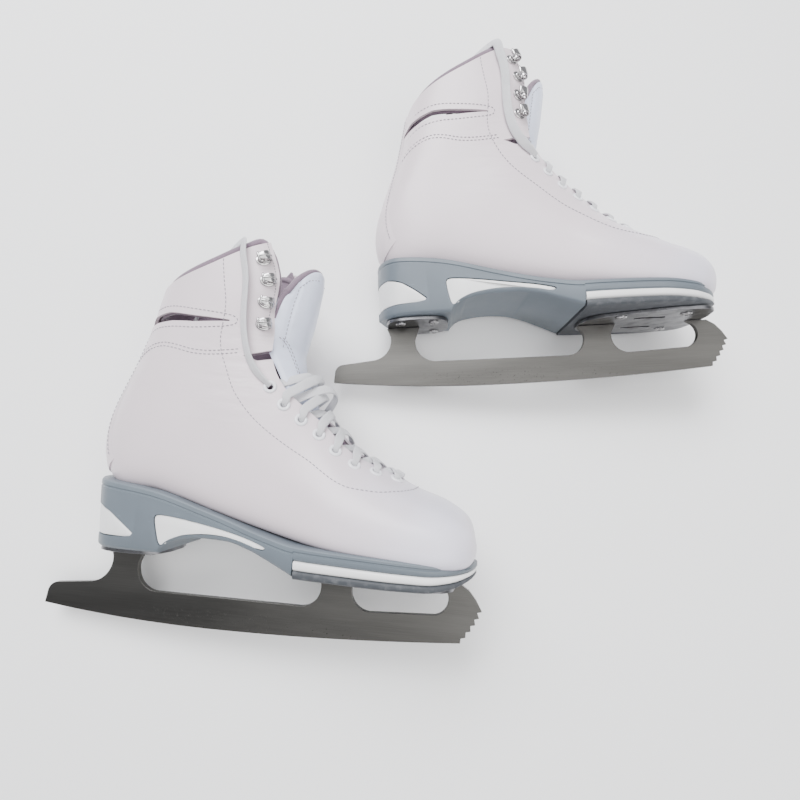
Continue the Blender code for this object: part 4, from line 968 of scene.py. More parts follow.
def make_hooks(side, looks):
    last = LASTS[side]
    for sign, word in ((1, "medial"), (-1, "lateral")):
        shapes = []
        for i in hook_rings(last):
            here, normal, up, across = last.frame(i, cell_of(sign, 0.5), 0.15)
            inward = last.at(i, cell_of(sign, 0.5)) - last.at(i, cell_of(sign, 0.3))
            away = across if np.dot(across, inward) > 0 else -across
            shapes += hook_parts(here, normal, up, away, looks.hook_width / MM)
        obj = new_piece(side, f"chrome_hooks_{word}", merged(shapes), finish_of(side, "chrome", looks), 50.0)
        fit(obj, side, [f"hooks_{word}"])


# ==================================== seams ======================================
FACING_SEAM = (
    (22.0, 2.2), (20.7, 2.3), (19.0, 2.2), (16.6, 2.05), (14.4, 1.9), (12.3, 1.8), (10.6, 1.8),
    (9.0, 1.75), (7.6, 1.8), (6.8, 1.85), (6.15, 1.5), (5.75, 0.8), (5.6, 0.05),
)
COUNTER_SEAM = (
    (59.0, 171.0), (66.0, 181.0), (76.0, 187.5), (88.0, 190.5), (98.5, 189.5), (111.5, 186.5),
    (123.3, 185.8), (135.0, 186.8), (146.0, 188.5),
)
SLIT_SEAM = (
    (69.0, 198.0), (80.0, 203.6), (95.0, 204.8), (112.0, 204.4), (133.0, 206.2), (141.0, 208.4),
    (142.5, 211.0), (139.0, 214.2), (112.0, 217.6), (92.0, 220.0), (74.0, 218.0), (66.0, 212.5),
)
SEAM_GAP = 2.6


def stitches(path, normals, pitch, length, width):
    """Short sunk-ended stitches laid along a path on a surface."""
    path, normals = np.array(path), np.array(normals)
    run = run_along(path)

    def spot(at, rise):
        p = np.array([np.interp(at, run, path[:, k]) for k in range(3)])
        n = unit([np.interp(at, run, normals[:, k]) for k in range(3)])
        return p + n * rise, n

    shapes = []
    for k in range(int(run[-1] / pitch)):
        start = (k + 0.5) * pitch - length / 2
        rings = []
        ends = [spot(start, 0.0)[0], spot(start + length, 0.0)[0]]
        step = unit(ends[1] - ends[0])
        for share, rise, size in ((0.0, -0.12, 0.5), (0.18, 0.14, 0.9), (0.5, 0.2, 1.0),
                                  (0.82, 0.14, 0.9), (1.0, -0.12, 0.5)):
            p, n = spot(start + share * length, rise)
            across = unit(np.cross(step, n))
            rings.append([p + across * a + n * b for a, b in oval(width * size, width * size, 6)])
        shapes.append(loft(rings))
    return shapes


def grid_line(last, knots, rise, count=260, shift=0.0):
    """Points and normals along a line given in rings and cells."""
    line = smooth_path(knots, count)
    spots = [last.frame(i, j + shift, rise)[:2] for i, j in line]
    return [s[0] for s in spots], [s[1] for s in spots]


def side_line(last, knots, sign, rise, count=160):
    """Points and normals along a line given in x and z on one side wall."""
    spots = [last.on_side(x, z, sign, rise) for x, z in smooth_path(knots, count)]
    points = evened(np.array([s[0] for s in spots]), 6)
    return list(points), [s[1] for s in spots]


def beside(knots, gap):
    """The same line moved sideways by gap."""
    pts = np.array(knots, float)
    out = []
    for k, p in enumerate(pts):
        step = heading(pts, k)
        out.append(tuple(p + np.array((-step[1], step[0])) * gap))
    return tuple(out)


def make_seams(side, looks):
    last = LASTS[side]
    pitch, width = looks.stitch_pitch / MM, looks.thread_width / MM
    length = pitch * 0.68
    shapes = []
    for sign in (1, -1):
        facing = [(i, cell_of(sign, j)) for i, j in FACING_SEAM]
        flap = [(i, cell_of(sign, j)) for i, j in ((22.0, 0.16), (20.0, 0.16), (18.4, 0.18), (17.3, 0.3))]
        back = [(i, CELLS / 2 - sign * back_half(i, 1.27)) for i in
                np.linspace(16.9, 21.8, 9)]
        shapes += stitches(*grid_line(last, facing, 0.12), pitch, length, width)
        shapes += stitches(*grid_line(last, flap, 0.12, 80), pitch * 0.7, length * 0.7, width)
        shapes += stitches(*grid_line(last, back, 1.1, 120), pitch, length, width)
        for line in (COUNTER_SEAM, beside(COUNTER_SEAM, SEAM_GAP), SLIT_SEAM):
            shapes += stitches(*side_line(last, line, sign, 0.12), pitch, length, width)
    obj = new_piece(side, "seams", merged(shapes), finish_of(side, "thread", looks), smooth=80.0)
    fit(obj, side, ())


# ==================================== tongue ======================================
TONGUE_LEAN = {"left": 2.0, "right": 3.0}
TONGUE_TUCK = 5.2
TONGUE_LENGTH = 76.0
TONGUE_THICKNESS = 9.0
TONGUE_LINE = (
    (240.0, 102.0), (228.0, 111.0), (211.0, 130.5), (197.5, 152.0), (188.0, 171.0), (184.2, 180.5),
)
TONGUE_COLUMNS = 41
TONGUE_ROWS = 66
TONGUE_WRAP = 16.0           # how far the padded part curls back at its sides


def throat_half(last, x, z):
    """Half width of the lace opening nearest to a point of the tongue's line."""
    spans = last.points[:, 0] - last.points[:, -1]
    middles = (last.points[:, 0] + last.points[:, -1]) / 2
    away = np.hypot(middles[:, 0] - x, middles[:, 2] - z)
    return float(abs(spans[int(np.argmin(away))][1])) / 2


def tongue_grids(side, fine):
    """Front and back of the whole tongue, from the vamp up to its padded top."""
    last = LASTS[side]
    shares = np.linspace(-1, 1, TONGUE_COLUMNS)
    rows = []
    line = np.array(TONGUE_LINE)
    for k, (x, z) in enumerate(line):
        nx, nz = heading(line, k)[[1, 0]] * (1, -1)
        half = max(throat_half(last, x, z) - TONGUE_TUCK, 4.0)
        row = []
        for s in shares:
            drop = 10.0 * abs(s) ** 2.2
            for depth in (drop, drop + 3.5):
                row.append((x - nx * depth, s * half, z - nz * depth))
        rows.append(row)
    lean = math.radians(TONGUE_LEAN[side])
    half_max = throat_half(last, *TONGUE_LINE[-1]) - (0.0 if side == "left" else 2.0)
    for f in np.linspace(0.12, 1.0, 9):
        row = []
        for s in shares:
            up = TONGUE_LENGTH * f * (1.0 - 0.30 * max(0.0, f - 0.6) / 0.4 * abs(s) ** 3) + 0.6
            half = half_max * (0.84 + 0.13 * math.sin(math.pi * min(f * 1.25, 1.0)))
            bow = 7.0 * f * math.sin(f * math.pi * 0.62) - 2.0
            pad = TONGUE_THICKNESS * (0.45 + 0.55 * math.sin(math.pi * (0.15 + 0.7 * f)))
            pad *= 1.0 - 0.45 * abs(s) ** 3
            for back in (0.0, pad):
                x = bow - TONGUE_WRAP * abs(s) ** 2.1 - back
                row.append((
                    TONGUE_HINGE[0] + x * math.cos(lean) + up * math.sin(lean),
                    s * half,
                    TONGUE_HINGE[2] - x * math.sin(lean) + up * math.cos(lean),
                ))
        rows.append(row)
    flat = np.array(rows).reshape(len(rows), -1)
    dense = np.array([catmull(flat, t) for t in np.linspace(0, len(rows) - 1, fine)])
    grid = dense.reshape(fine, TONGUE_COLUMNS, 2, 3)
    return grid[:, :, 0], grid[:, :, 1]


def bend_at_fold(obj, side):
    """Bake a piece of the tongue's transform into its mesh; nothing makes it bend at the fold."""
    low = to_row(side, (TONGUE_HINGE[0], 0.0, TONGUE_HINGE[2] - 7.0))
    high = to_row(side, (TONGUE_HINGE[0], 0.0, TONGUE_HINGE[2] + 9.0))
    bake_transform(obj)


def make_tongue(side, looks):
    rows = TONGUE_ROWS
    front, back = tongue_grids(side, rows)
    normals = np.cross(np.gradient(front, axis=0), np.gradient(front, axis=1))
    normals /= np.linalg.norm(normals, axis=2, keepdims=True)
    if np.mean(normals[:, TONGUE_COLUMNS // 2, 0]) < 0:
        normals = -normals
    high = np.clip((np.arange(rows) - 0.44 * rows) / (0.2 * rows), 0, 1)[:, None]
    share = np.abs(np.linspace(-1, 1, TONGUE_COLUMNS))[None, :]
    puff = 1.6 * high * (1 - share**4) * np.clip((rows - 1 - np.arange(rows)) / 6.0, 0, 1)[:, None] ** 0.5
    channel = 0.9 * high * np.exp(-(((share - 0.80) / 0.035) ** 2))
    front = front + normals * (puff - channel)[:, :, None]
    pad = new_piece(side, "tongue_pad", sheet(front, back), finish_of(side, "tongue", looks), smooth=70.0)
    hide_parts(f"{side}_tongue_lower", f"{side}_tongue_upper")
    bend_at_fold(pad, side)

    middle = (front + back) / 2
    lowest = int(0.62 * rows)
    rim = [middle[k, 0] for k in range(lowest, rows - 1)]
    rim += [middle[-1, j] for j in range(0, TONGUE_COLUMNS, 2)]
    rim += [middle[k, -1] for k in range(rows - 2, lowest - 1, -1)]
    path = smooth_path(rim, 150)
    ups = [np.array((1.0, 0.0, 0.3)) for _ in path]
    thick = looks.roll_width / MM

    def binding(at):
        size = thick * (0.25 + 0.75 * min(1.0, 6.0 * at, 6.0 * (1.0 - at)))
        return oval(size * 0.9, size * 1.15, 10)

    edge = new_piece(side, "tongue_binding", sweep(path, ups, binding),
                     finish_of(side, "lining", looks), smooth=80.0)
    bend_at_fold(edge, side)

    behind = back - normals * 0.25
    cols = slice(1, TONGUE_COLUMNS - 1)
    cloth = sheet(behind[2:-1, cols], behind[2:-1, cols] - normals[2:-1, cols] * 0.9)
    cloth_obj = new_piece(side, "tongue_lining", cloth, finish_of(side, "lining", looks), smooth=70.0)
    bend_at_fold(cloth_obj, side)

    def on_front(r, s, rise):
        c = (s + 1) / 2 * (TONGUE_COLUMNS - 1)
        r0, c0 = int(min(r, rows - 2)), int(min(c, TONGUE_COLUMNS - 2))
        fr, fc = r - r0, c - c0
        grid = front + normals * rise
        low = grid[r0, c0] * (1 - fc) + grid[r0, c0 + 1] * fc
        top = grid[r0 + 1, c0] * (1 - fc) + grid[r0 + 1, c0 + 1] * fc
        return low * (1 - fr) + top * fr, normals[r0, c0]

    pitch, width = looks.stitch_pitch / MM, looks.thread_width / MM
    shapes = []
    top = 0.94 * (rows - 1)
    edge_line = [(r, -0.80) for r in np.linspace(0.42 * rows, top - 3, 8)]
    edge_line += [(top, s) for s in np.linspace(-0.6, 0.6, 5)]
    edge_line += [(r, 0.80) for r in np.linspace(top - 3, 0.42 * rows, 8)]
    lines = [edge_line]
    for sign in (-1, 1):
        for gap in (0.0, 0.07):
            lines.append([(r, sign * (s - gap)) for r, s in (
                (0.50 * rows, 0.93), (0.47 * rows, 0.78), (0.42 * rows, 0.64), (0.36 * rows, 0.58),
                (0.28 * rows, 0.56), (0.2 * rows, 0.58))])
    for line in lines:
        spots = [on_front(r, s, 0.1) for r, s in smooth_path(line, 120)]
        shapes += stitches([s[0] for s in spots], [s[1] for s in spots], pitch, pitch * 0.68, width)
    seam = new_piece(side, "tongue_seams", merged(shapes), finish_of(side, "thread", looks), 80.0)
    bend_at_fold(seam, side)


# ==================================== laces =======================================
# Route of a free lace end inside the boot, after the collar: x, distance from the
# boot's middle, height.
INSIDE_ROUTE = (
    (124.0, 27.0, 262.0), (114.0, 25.0, 240.0), (103.0, 24.0, 210.0), (93.0, 23.0, 178.0),
    (86.0, 21.0, 148.0), (86.0, 19.0, 126.0), (98.0, 18.0, 112.0), (122.0, 17.0, 102.0),
    (152.0, 17.0, 92.0), (184.0, 18.0, 82.0),
)
BOOT_MIDDLE = (150.0, 0.0, 235.0)    # the lace ends turn their flat side away from it
# How far each crossing strand bows out over the tongue, from the top pair down.
STRAND_BOW = {
    "left": ((9.0, 5.0), (15.0, 8.0), (7.0, 4.5), (5.0, 3.2), (3.6, 2.4), (3.0, 2.0), (2.4, 1.6)),
    "right": ((3.0, 1.8), (2.8, 1.6), (2.8, 1.6), (2.6, 1.5), (2.4, 1.4), (2.2, 1.2), (2.0, 1.0)),
}


def ribbon(side, name, strands, looks):
    """Flat braided bands in one mesh, with a map that runs across and along each band."""
    points, faces, marks = [], [], []
    for path, ups, widths, thick in strands:
        run = run_along(path)
        sides = 14
        start = len(points)
        for k, p in enumerate(path):
            step = heading(path, k)
            across = unit(np.cross(step, ups[k]))
            up = np.cross(across, step)
            for a, b in oval(widths[k], thick, sides, 0.62):
                points.append(p + across * a + up * b)
                marks.append((a * looks.lace_width / MM / max(widths[k], 0.1), run[k]))
        n = len(path)
        for i in range(n - 1):
            for j in range(sides):
                k = (j + 1) % sides
                a, b = start + i * sides, start + (i + 1) * sides
                faces.append((a + j, a + k, b + k, b + j))
        faces.append(tuple(start + j for j in range(sides)))
        faces.append(tuple(start + (n - 1) * sides + j for j in range(sides - 1, -1, -1)))
    obj = new_piece(side, name, (points, faces), finish_of(side, "lace", looks), 75.0, merge=0.0001)
    layer = obj.data.uv_layers.new(name="braid")
    for loop in obj.data.loops:
        layer.data[loop.index].uv = marks[loop.vertex_index]
    return obj


def strand(last, row, sign, bows, width):
    """One lace from its eyelet, over the throat's edge and the tongue, under the other edge."""
    rings = eyelet_rings(last)
    target = row - 1

    def spot(at, s, cell, rise):
        ring = float(np.interp(at, range(EYELETS), rings))
        here, normal, _, _ = last.frame(ring, cell_of(s, cell), rise)
        return here, normal

    knots = [
        (*spot(row, sign, 0.52, -3.4), 0.52),
        (*spot(row, sign, 0.46, 0.4), 0.55),
        (*spot(row - 0.04, sign, 0.30, 2.1), 0.75),
        (*spot(row - 0.10, sign, 0.06, 1.9), 0.95),
    ]
    a, na = spot(row - 0.16, sign, -0.02, 1.2)
    b, nb = spot(target + 0.20, -sign, 0.02, -5.0)
    up = unit(na + nb)
    for share, bow in ((0.22, 0.72), (0.5, 1.0), (0.78, 0.62)):
        middle = a * (1 - share) + b * share
        rise = bows * bow + max(over_tongue(middle, up), 0.0) + 1.0
        knots.append((middle + up * rise, up, 1.0))
    knots.append((b + up * 0.4, up, 0.95))
    knots.append((*spot(target + 0.1, -sign, 0.30, -7.0), 0.9))
    flat = smooth_path([np.concatenate([p, n, [w]]) for p, n, w in knots], 54)
    return flat[:, :3], [unit(n) for n in flat[:, 3:6]], flat[:, 6] * width, LACE_THICKNESS


def over_tongue(middle, up):
    """How far the tongue's front stands above a point between the facings."""
    knots = np.array([catmull(TONGUE_LINE, t) for t in np.linspace(0, len(TONGUE_LINE) - 1, 60)])
    offset = knots - middle[[0, 2]]
    near = offset[int(np.argmin(np.linalg.norm(offset, axis=1)))]
    return float(near @ up[[0, 2]])


def make_laces(side, looks):
    last = LASTS[side]
    width = looks.lace_width / MM
    strands = []
    for row in range(1, EYELETS):
        first, second = STRAND_BOW[side][row - 1]
        order = (1, -1) if row % 2 else (-1, 1)
        for sign, bow in zip(order, (first, second)):
            strands.append(strand(last, row, sign, bow * looks.slack, width))
    rings = eyelet_rings(last)
    knots = []
    for sign in (1, -1):
        part = []
        for cell, rise, wide in ((0.52, -3.4, 0.5), (0.42, 0.6, 0.6), (0.2, 1.9, 0.9), (0.0, 1.7, 1.0)):
            here, normal, _, _ = last.frame(rings[-1], cell_of(sign, cell), rise)
            part.append(np.concatenate([here, normal, [wide]]))
        knots.append(part)
    a, b = knots[0][-1], knots[1][-1]
    bar = (a + b) / 2
    bar[:3] += unit(bar[3:6]) * 1.6
    flat = smooth_path([*knots[0], bar, *reversed(knots[1])], 44)
    strands.append((flat[:, :3], [unit(n) for n in flat[:, 3:6]], flat[:, 6] * width, LACE_THICKNESS))
    fit(ribbon(side, "crossed_laces", strands, looks), side, ["lace_run"])


def end_route(side, sign):
    """Points of a free lace end: up beside the hooks, over the collar, down inside."""
    last = LASTS[side]
    rings = eyelet_rings(last)
    lift = LACE_WIDTH / 2 + 0.4
    here, normal, _, _ = last.frame(rings[0], cell_of(sign, 0.5), 0.0)
    knots = [here + normal * 2.2]
    for i, cell in ((13.6, 0.7), (14.6, 0.98), (16.4, 1.25), (18.5, 1.35), (20.6, 1.3), (21.9, 1.25)):
        knots.append(last.at(i, cell_of(sign, cell), lift))
    rim = last.at(22.0, cell_of(sign, 1.25), 0.0)
    knots.append(rim + np.array((2.0, 0.0, LINING_ROLL + lift + 1.6)))
    knots += [np.array((x, sign * y, z)) for x, y, z in INSIDE_ROUTE]
    return knots


def make_lace_end(side, sign, word, looks):
    knots = end_route(side, sign)
    path = evened(smooth_path(knots, 220), 30)
    middle = np.array(BOOT_MIDDLE)
    ups, up = [], None
    for k, p in enumerate(path):
        step = heading(path, k)
        if up is None:
            up = unit(p - middle)
        up = unit(up - step * np.dot(up, step))
        ups.append(up)
    width = looks.lace_width / MM
    widths = [width * min(1.0, 0.6 + k / 20.0) for k in range(len(path))]
    name = f"lace_end_{word}"
    obj = ribbon(side, f"free_lace_{word}", [(path, ups, widths, LACE_THICKNESS)], looks)
    fit(obj, side, [name])
    line = [tuple(to_row(side, p)) for p in path]


# ================================== sole unit ======================================
HEEL_BACK_X = 41.0
HEEL_BOTTOM_Z = 48.0
FORE_BOTTOM_Z = 42.0
BREAST_X = 100.0
WEDGE_START_X = 199.0
TREAD_SHARE = 0.26
WEDGE_SHARE = 0.30
LAYER_GAP = 0.15
# Slices of the sole unit along X, closer together where its outline turns.
BACK_STATIONS = [
    40.0, 40.6, 41.5, 43.0, 45.5, 49.0, *np.arange(53.0, 99.5, 3.5), 99.9, 100.4,
    *np.arange(102.0, 198.0, 3.5), 198.6,
]
NOSE_STATIONS = [
    199.2, *np.arange(203.0, 296.0, 4.0), 298.0, 302.0, 306.0, 309.5, 312.5, 315.0, 316.6,
]
CUP_GAP = 0.2
WINDOW_REACH = 70.0
GROOVE = (4.6, 0.7)          # distance from the sole's top, and depth
SOLE_TOP = (
    (38, 96.5), (60, 94.5), (92, 90.5), (135, 79.0), (177, 67.0), (200, 62.5), (258, 60.5),
    (290, 59.0), (316, 57.0),
)
SOLE_HALF = (
    (39.5, 0), (41.5, 10), (45, 18), (50, 25), (59, 30.5), (75, 33), (100, 33.5), (140, 34),
    (180, 39), (215, 44.5), (255, 46.5), (280, 43), (296, 35), (307, 24.5), (313.5, 14), (317, 0),
)
SOLE_SHIFT = ((38, 0), (200, 0.0), (256, 2.5), (291, 7.0), (316, 12.0))
FORE_BOTTOM = ((199, 42.0), (284, 42.0), (300, 44.2), (316, 50.0))
ARCH = (
    (100, 48.0), (104, 53.5), (114, 58.0), (134, 60.5), (150, 60.0), (166, 56.5), (182, 50.5),
    (199, 43.5),
)
HEEL_WINDOW = ((20.0, 57.0), (20.0, 79.5), (50.0, 78.0), (62.0, 73.5), (73.0, 66.0), (84.5, 57.0))
WAIST_WINDOW = (
    (100.8, 52.0), (96.5, 71.0), (98.5, 74.0), (112.0, 73.0), (138.0, 69.0), (164.0, 64.0),
    (180.0, 59.0), (176.0, 57.5), (166.0, 60.8), (150.0, 63.6), (134.0, 64.0), (116.0, 61.8),
    (106.0, 57.5),
)


def softened(outline, rounds=2):
    """A closed outline with its corners cut round."""
    pts = [np.array(p, float) for p in outline]
    for _ in range(rounds):
        out = []
        for k, p in enumerate(pts):
            q = pts[(k + 1) % len(pts)]
            out += [p * 0.78 + q * 0.22, p * 0.22 + q * 0.78]
        pts = out
    return [tuple(p) for p in pts]


def grown(outline, by):
    """An outline with every corner moved outward by about the given distance."""
    pts = np.array(outline, float)
    n = len(pts)
    nxt = np.roll(pts, -1, axis=0)
    area = float(np.sum(pts[:, 0] * nxt[:, 1] - nxt[:, 0] * pts[:, 1]))
    out = []
    for k in range(n):
        normals = [unit(np.array((d[1], -d[0]))) for d in (pts[k] - pts[k - 1], nxt[k] - pts[k])]
        bisector = (normals[0] + normals[1]) / max(1 + np.dot(*normals), 0.4)
        out.append(tuple(pts[k] + bisector * by * (1 if area > 0 else -1)))
    return out


def sole_bottom(x):
    """Height of the sole unit's underside: heel, arch and forefoot."""
    if x <= BREAST_X:
        return HEEL_BOTTOM_Z + 2.5 * max(0.0, (49.0 - x) / 8.0)
    if x < WEDGE_START_X:
        return spline(ARCH, x)
    return spline(FORE_BOTTOM, x)


def sole_half(x, z):
    """Half width of the sole unit, which tapers towards the floor."""
    top = spline(SOLE_TOP, x)
    taper = 0.13 if x < 150 else 0.13 - 0.05 * min(1.0, (x - 150) / 50)
    return max(spline(SOLE_HALF, x) - taper * max(0.0, top - 8.0 - z), 3.0)


def sole_ring(x, top, bottom, grooves):
    """A slice of the sole unit; grooves are (distance from the top, depth) pairs."""
    height = top - bottom
    deep = min(2.5, 0.3 * height)
    levels = [(top, 1.3), (top - 0.5, 0.45), (top - 1.2, 0.0)]
    for down, depth in grooves:
        z, reach = top - min(down, 0.42 * height), min(0.9, 0.10 * height)
        levels += [(z + reach, 0.0), (z + 0.35 * reach, depth), (z - 0.35 * reach, depth), (z - reach, 0.0)]
    levels += [(bottom + deep, 0.0), (bottom + 0.4 * deep, 0.6), (bottom, 2.0)]
    middle = spline(SOLE_SHIFT, x)
    left, right = [], []
    for z, inset in levels:
        half = max(sole_half(x, z) - inset, 0.4)
        right.append((x, middle + half, z))
        left.append((x, middle - half, z))
    return right + left[::-1]


def layer(stations, top, bottom, grooves=()):
    """A closed body of slices between two heights given along X."""
    return loft([sole_ring(x, top(x), bottom(x), grooves) for x in stations])


def fore_level(x, share):
    """A height in the forefoot, by its share of the thickness there."""
    bottom, top = spline(FORE_BOTTOM, x), spline(SOLE_TOP, x)
    return bottom + share * (top - bottom)


def handed(obj, side):
    """A piece of the right skate, turned into the left one's mirror image where it's asked for."""
    if side == "left":
        flip = Matrix.Diagonal((1.0, -1.0, 1.0, 1.0))
        obj.data.transform(PLACES["left"] @ flip @ PLACES["right"].inverted())
        obj.data.flip_normals()
        obj.name = obj.name.replace("right", "left")


def tread_top(x):
    return fore_level(x, TREAD_SHARE)


def wedge_top(x):
    return fore_level(x, TREAD_SHARE + WEDGE_SHARE)


def band_bottom(x):
    """Underside of the grey frame, which thins to a band over the forefoot's layers."""
    return sole_bottom(x) if x < WEDGE_START_X else wedge_top(x) + LAYER_GAP


def make_sole_frame(side, looks):
    """The grey frame: its cup, heel and arch, with the windows cut through."""
    last = LASTS["right"]
    grey = finish_of(side, "sole_grey", looks)
    band = layer(BACK_STATIONS + NOSE_STATIONS, lambda x: spline(SOLE_TOP, x), band_bottom, (GROOVE,))
    sole = new_piece("right", "sole_frame", band, grey, smooth=38.0)
    cols = CELLS * FINE_AROUND + 1
    skin = []
    for i in range(last.count - 1):
        for j in range(cols):
            k = (j + 1) % cols
            skin.append((i * cols + j, i * cols + k, (i + 1) * cols + k, (i + 1) * cols + j))
    skin.append(tuple(range(cols)))
    skin.append(tuple((last.count - 1) * cols + j for j in range(cols)))
    cup = new_piece("right", "cup", (list(last.offset(CUP_GAP).reshape(-1, 3)), skin), None)
    heel, waist = softened(HEEL_WINDOW, 2), softened(WAIST_WINDOW, 2)
    reach = (-WINDOW_REACH, WINDOW_REACH)
    windows = merged([prism(grown(heel, 0.5), *reach), prism(grown(waist, 0.5), *reach)])
    cut(sole, [cup, new_piece("right", "windows", windows, None)])
    handed(sole, side)
    sole.data.shade_smooth()
    sole.data.set_sharp_from_angle(angle=math.radians(32.0))
    fit(sole, side, ["outsole"])


def make_windows(side, looks):
    """The pale core that shows in the heel and waist windows."""
    white = finish_of(side, "sole_white", looks)
    inset = looks.window_depth / MM
    stations = [HEEL_BACK_X - 0.4 + inset, 42.5, 44.0, 46.5, 50.0]
    stations += list(np.arange(54.0, 84.0, 2.5)) + [83.9]
    rings = []
    for x in stations:
        top = max(float(np.interp(x, *zip(*HEEL_WINDOW[1:]))) - 0.3, HEEL_WINDOW[0][1] + 0.6)
        ring = []
        for f in np.linspace(1, 0, 9):
            z = HEEL_WINDOW[0][1] + 0.3 + f * (top - HEEL_WINDOW[0][1] - 0.3)
            dome = 0.5 * (1 - abs(2 * f - 1) ** 4)
            ring.append((x, max(sole_half(x, z) - inset - 0.5 + dome, 1.0), z))
        rings.append(ring + [(p[0], -p[1], p[2]) for p in reversed(ring)])
    obj = new_piece(side, "heel_window", loft(rings), white, smooth=50.0)
    fit(obj, side, ["heel_inlay"])

    outline = softened(WAIST_WINDOW, 2)
    centre = np.mean(outline, axis=0)
    rings = []
    for share, level in ((0.9, 1.0), (0.97, 0.99), (1.0, 0.975), (1.0, -0.975), (0.97, -0.99), (0.9, -1.0)):
        ring = []
        for x, z in outline:
            u, v = centre + (np.array((x, z)) - centre) * share if share < 0.95 else (x, z)
            ring.append((u, level * (sole_half(u, v) - inset - 0.5) + spline(SOLE_SHIFT, u), v))
        rings.append(ring)
    obj = new_piece(side, "waist_window", loft(rings), white, smooth=50.0)
    fit(obj, side, ["waist_inlay"])


def make_forefoot(side, looks):
    """The pale layer and the dark tread under the forefoot."""
    white = finish_of(side, "sole_white", looks)
    low = [WEDGE_START_X + 0.6] + NOSE_STATIONS[1:-1] + [316.0]
    wedge = layer(low, wedge_top, lambda x: tread_top(x) + LAYER_GAP)
    obj = new_piece(side, "toe_layer", wedge, white, smooth=38.0)
    fit(obj, side, ["toe_wedge"])
    tread = layer(low, tread_top, lambda x: spline(FORE_BOTTOM, x))
    obj = new_piece(side, "tread_layer", tread, finish_of(side, "tread", looks), smooth=38.0)
    fit(obj, side, ["tread"])


# ============================= plates, screws and blade ===========================
PLATE_THICKNESS = 3.0
SOLE_PLATE_HALF = (7.0, 15.0, 21.0, 25.0, 29.0, 31.5, 31.0, 24.0, 10.0)
HEEL_PLATE_HALF = (9.0, 17.0, 21.0, 22.5, 22.0, 17.0, 8.0)
SOLE_SCREWS = ((232.0, 20.5), (232.0, -20.5), (281.0, 21.0), (281.0, -21.0))
HEEL_SCREWS = ((59.0, 13.0), (59.0, -13.0), (86.0, 13.5), (86.0, -13.5))


def plate_outline(low, high, widths):
    """A plate's outline from X low to X high, through half widths set along it."""
    n = 44
    stops = [(1 - math.cos(math.pi * k / (len(widths) - 1))) / 2 for k in range(len(widths))]
    knots = [(low + (high - low) * s, w) for s, w in zip(stops, widths)]
    xs = [low + (high - low) * (1 - math.cos(math.pi * k / n)) / 2 for k in range(n + 1)]
    curve = [(x, float(spline(knots, x))) for x in xs]
    return curve + [(x, -w) for x, w in reversed(curve)]


def long_slot(x, y, length, width, low, high):
    """A slot with round ends, to cut a plate with."""
    half = (length - width) / 2
    outline = []
    for side_x, start in ((half, -90), (-half, 90)):
        for t in np.linspace(start, start + 180, 12):
            a = math.radians(t)
            outline.append((x + side_x + width / 2 * math.cos(a), y + width / 2 * math.sin(a)))
    return prism(outline, low, high, axis=2)


def bevelled(obj, width, segments=2, angle=35.0):
    """Round the sharp edges of an object."""
    mod = obj.modifiers.new("edge", "BEVEL")
    mod.width = width * MM
    mod.segments = segments
    mod.limit_method = "ANGLE"
    mod.angle_limit = math.radians(angle)
    mod.harden_normals = True
    return obj


def make_plates(side, looks):
    sets = (
        ("sole_plate", SOLE_PLATE_X, SOLE_PLATE_HALF, FORE_BOTTOM_Z, SOLE_SCREWS, "sole_screw"),
        ("heel_plate", HEEL_PLATE_X, HEEL_PLATE_HALF, HEEL_BOTTOM_Z, HEEL_SCREWS, "heel_screw"),
    )
    for name, (low, high), widths, seat, screws, screw_name in sets:
        top = seat - FIT
        under = top - PLATE_THICKNESS
        shape = prism(plate_outline(low, high, widths), under, top, axis=2)
        dark = finish_of(side, "plate", looks)
        plate = new_piece(side, name.replace("plate", "mount"), shape, dark, smooth=30.0)
        down = np.array((0.0, 0.0, -1.0))
        holes = [lathe(np.array((x, y, top)), down, ((2.3, -2.0), (2.3, 5.5)), 20) for x, y in screws]
        if name == "sole_plate":
            x, y, length, width = PLATE_SLOT
            holes += [long_slot(x, v, length, width, under - 2, top + 2) for v in (y, -y)]
        cut(plate, [new_piece(side, "plate_holes", merged(holes), None)])
        plate.data.set_sharp_from_angle(angle=math.radians(30.0))
        fit(bevelled(plate, 0.5), side, [name])
        heads, crosses = [], []
        for k, (x, y) in enumerate(screws):
            base = np.array((x, y, under - 0.1))
            heads.append(lathe(base, down, (
                (1.9, -2.8), (1.9, -0.05), (4.1, -0.05), (4.2, 0.35), (3.9, 0.95), (3.1, 1.4),
                (1.8, 1.65), (0.6, 1.7)), 28))
            turn = 0.4 + k * 1.1
            for quarter in (0.0, math.pi / 2):
                along = np.array((math.cos(turn + quarter), math.sin(turn + quarter), 0.0))
                over = np.cross(along, down)
                ring = [base + along * a + over * b for a, b in
                        ((-2.2, -0.4), (2.2, -0.4), (2.2, 0.4), (-2.2, 0.4))]
                crosses.append(loft([[p + down * 0.7 for p in ring], [p + down * 2.6 for p in ring]]))
        screw = new_piece(side, f"{screw_name}s", merged(heads), finish_of(side, "screw", looks), 30.0)
        bars = (merged(crosses[::2]), merged(crosses[1::2]))
        cut(screw, [new_piece(side, f"cross_{k}", bar, None) for k, bar in enumerate(bars)])
        screw.data.set_sharp_from_angle(angle=math.radians(35.0))
        fit(screw, side, [f"{screw_name}_{k + 1}" for k in range(len(screws))])


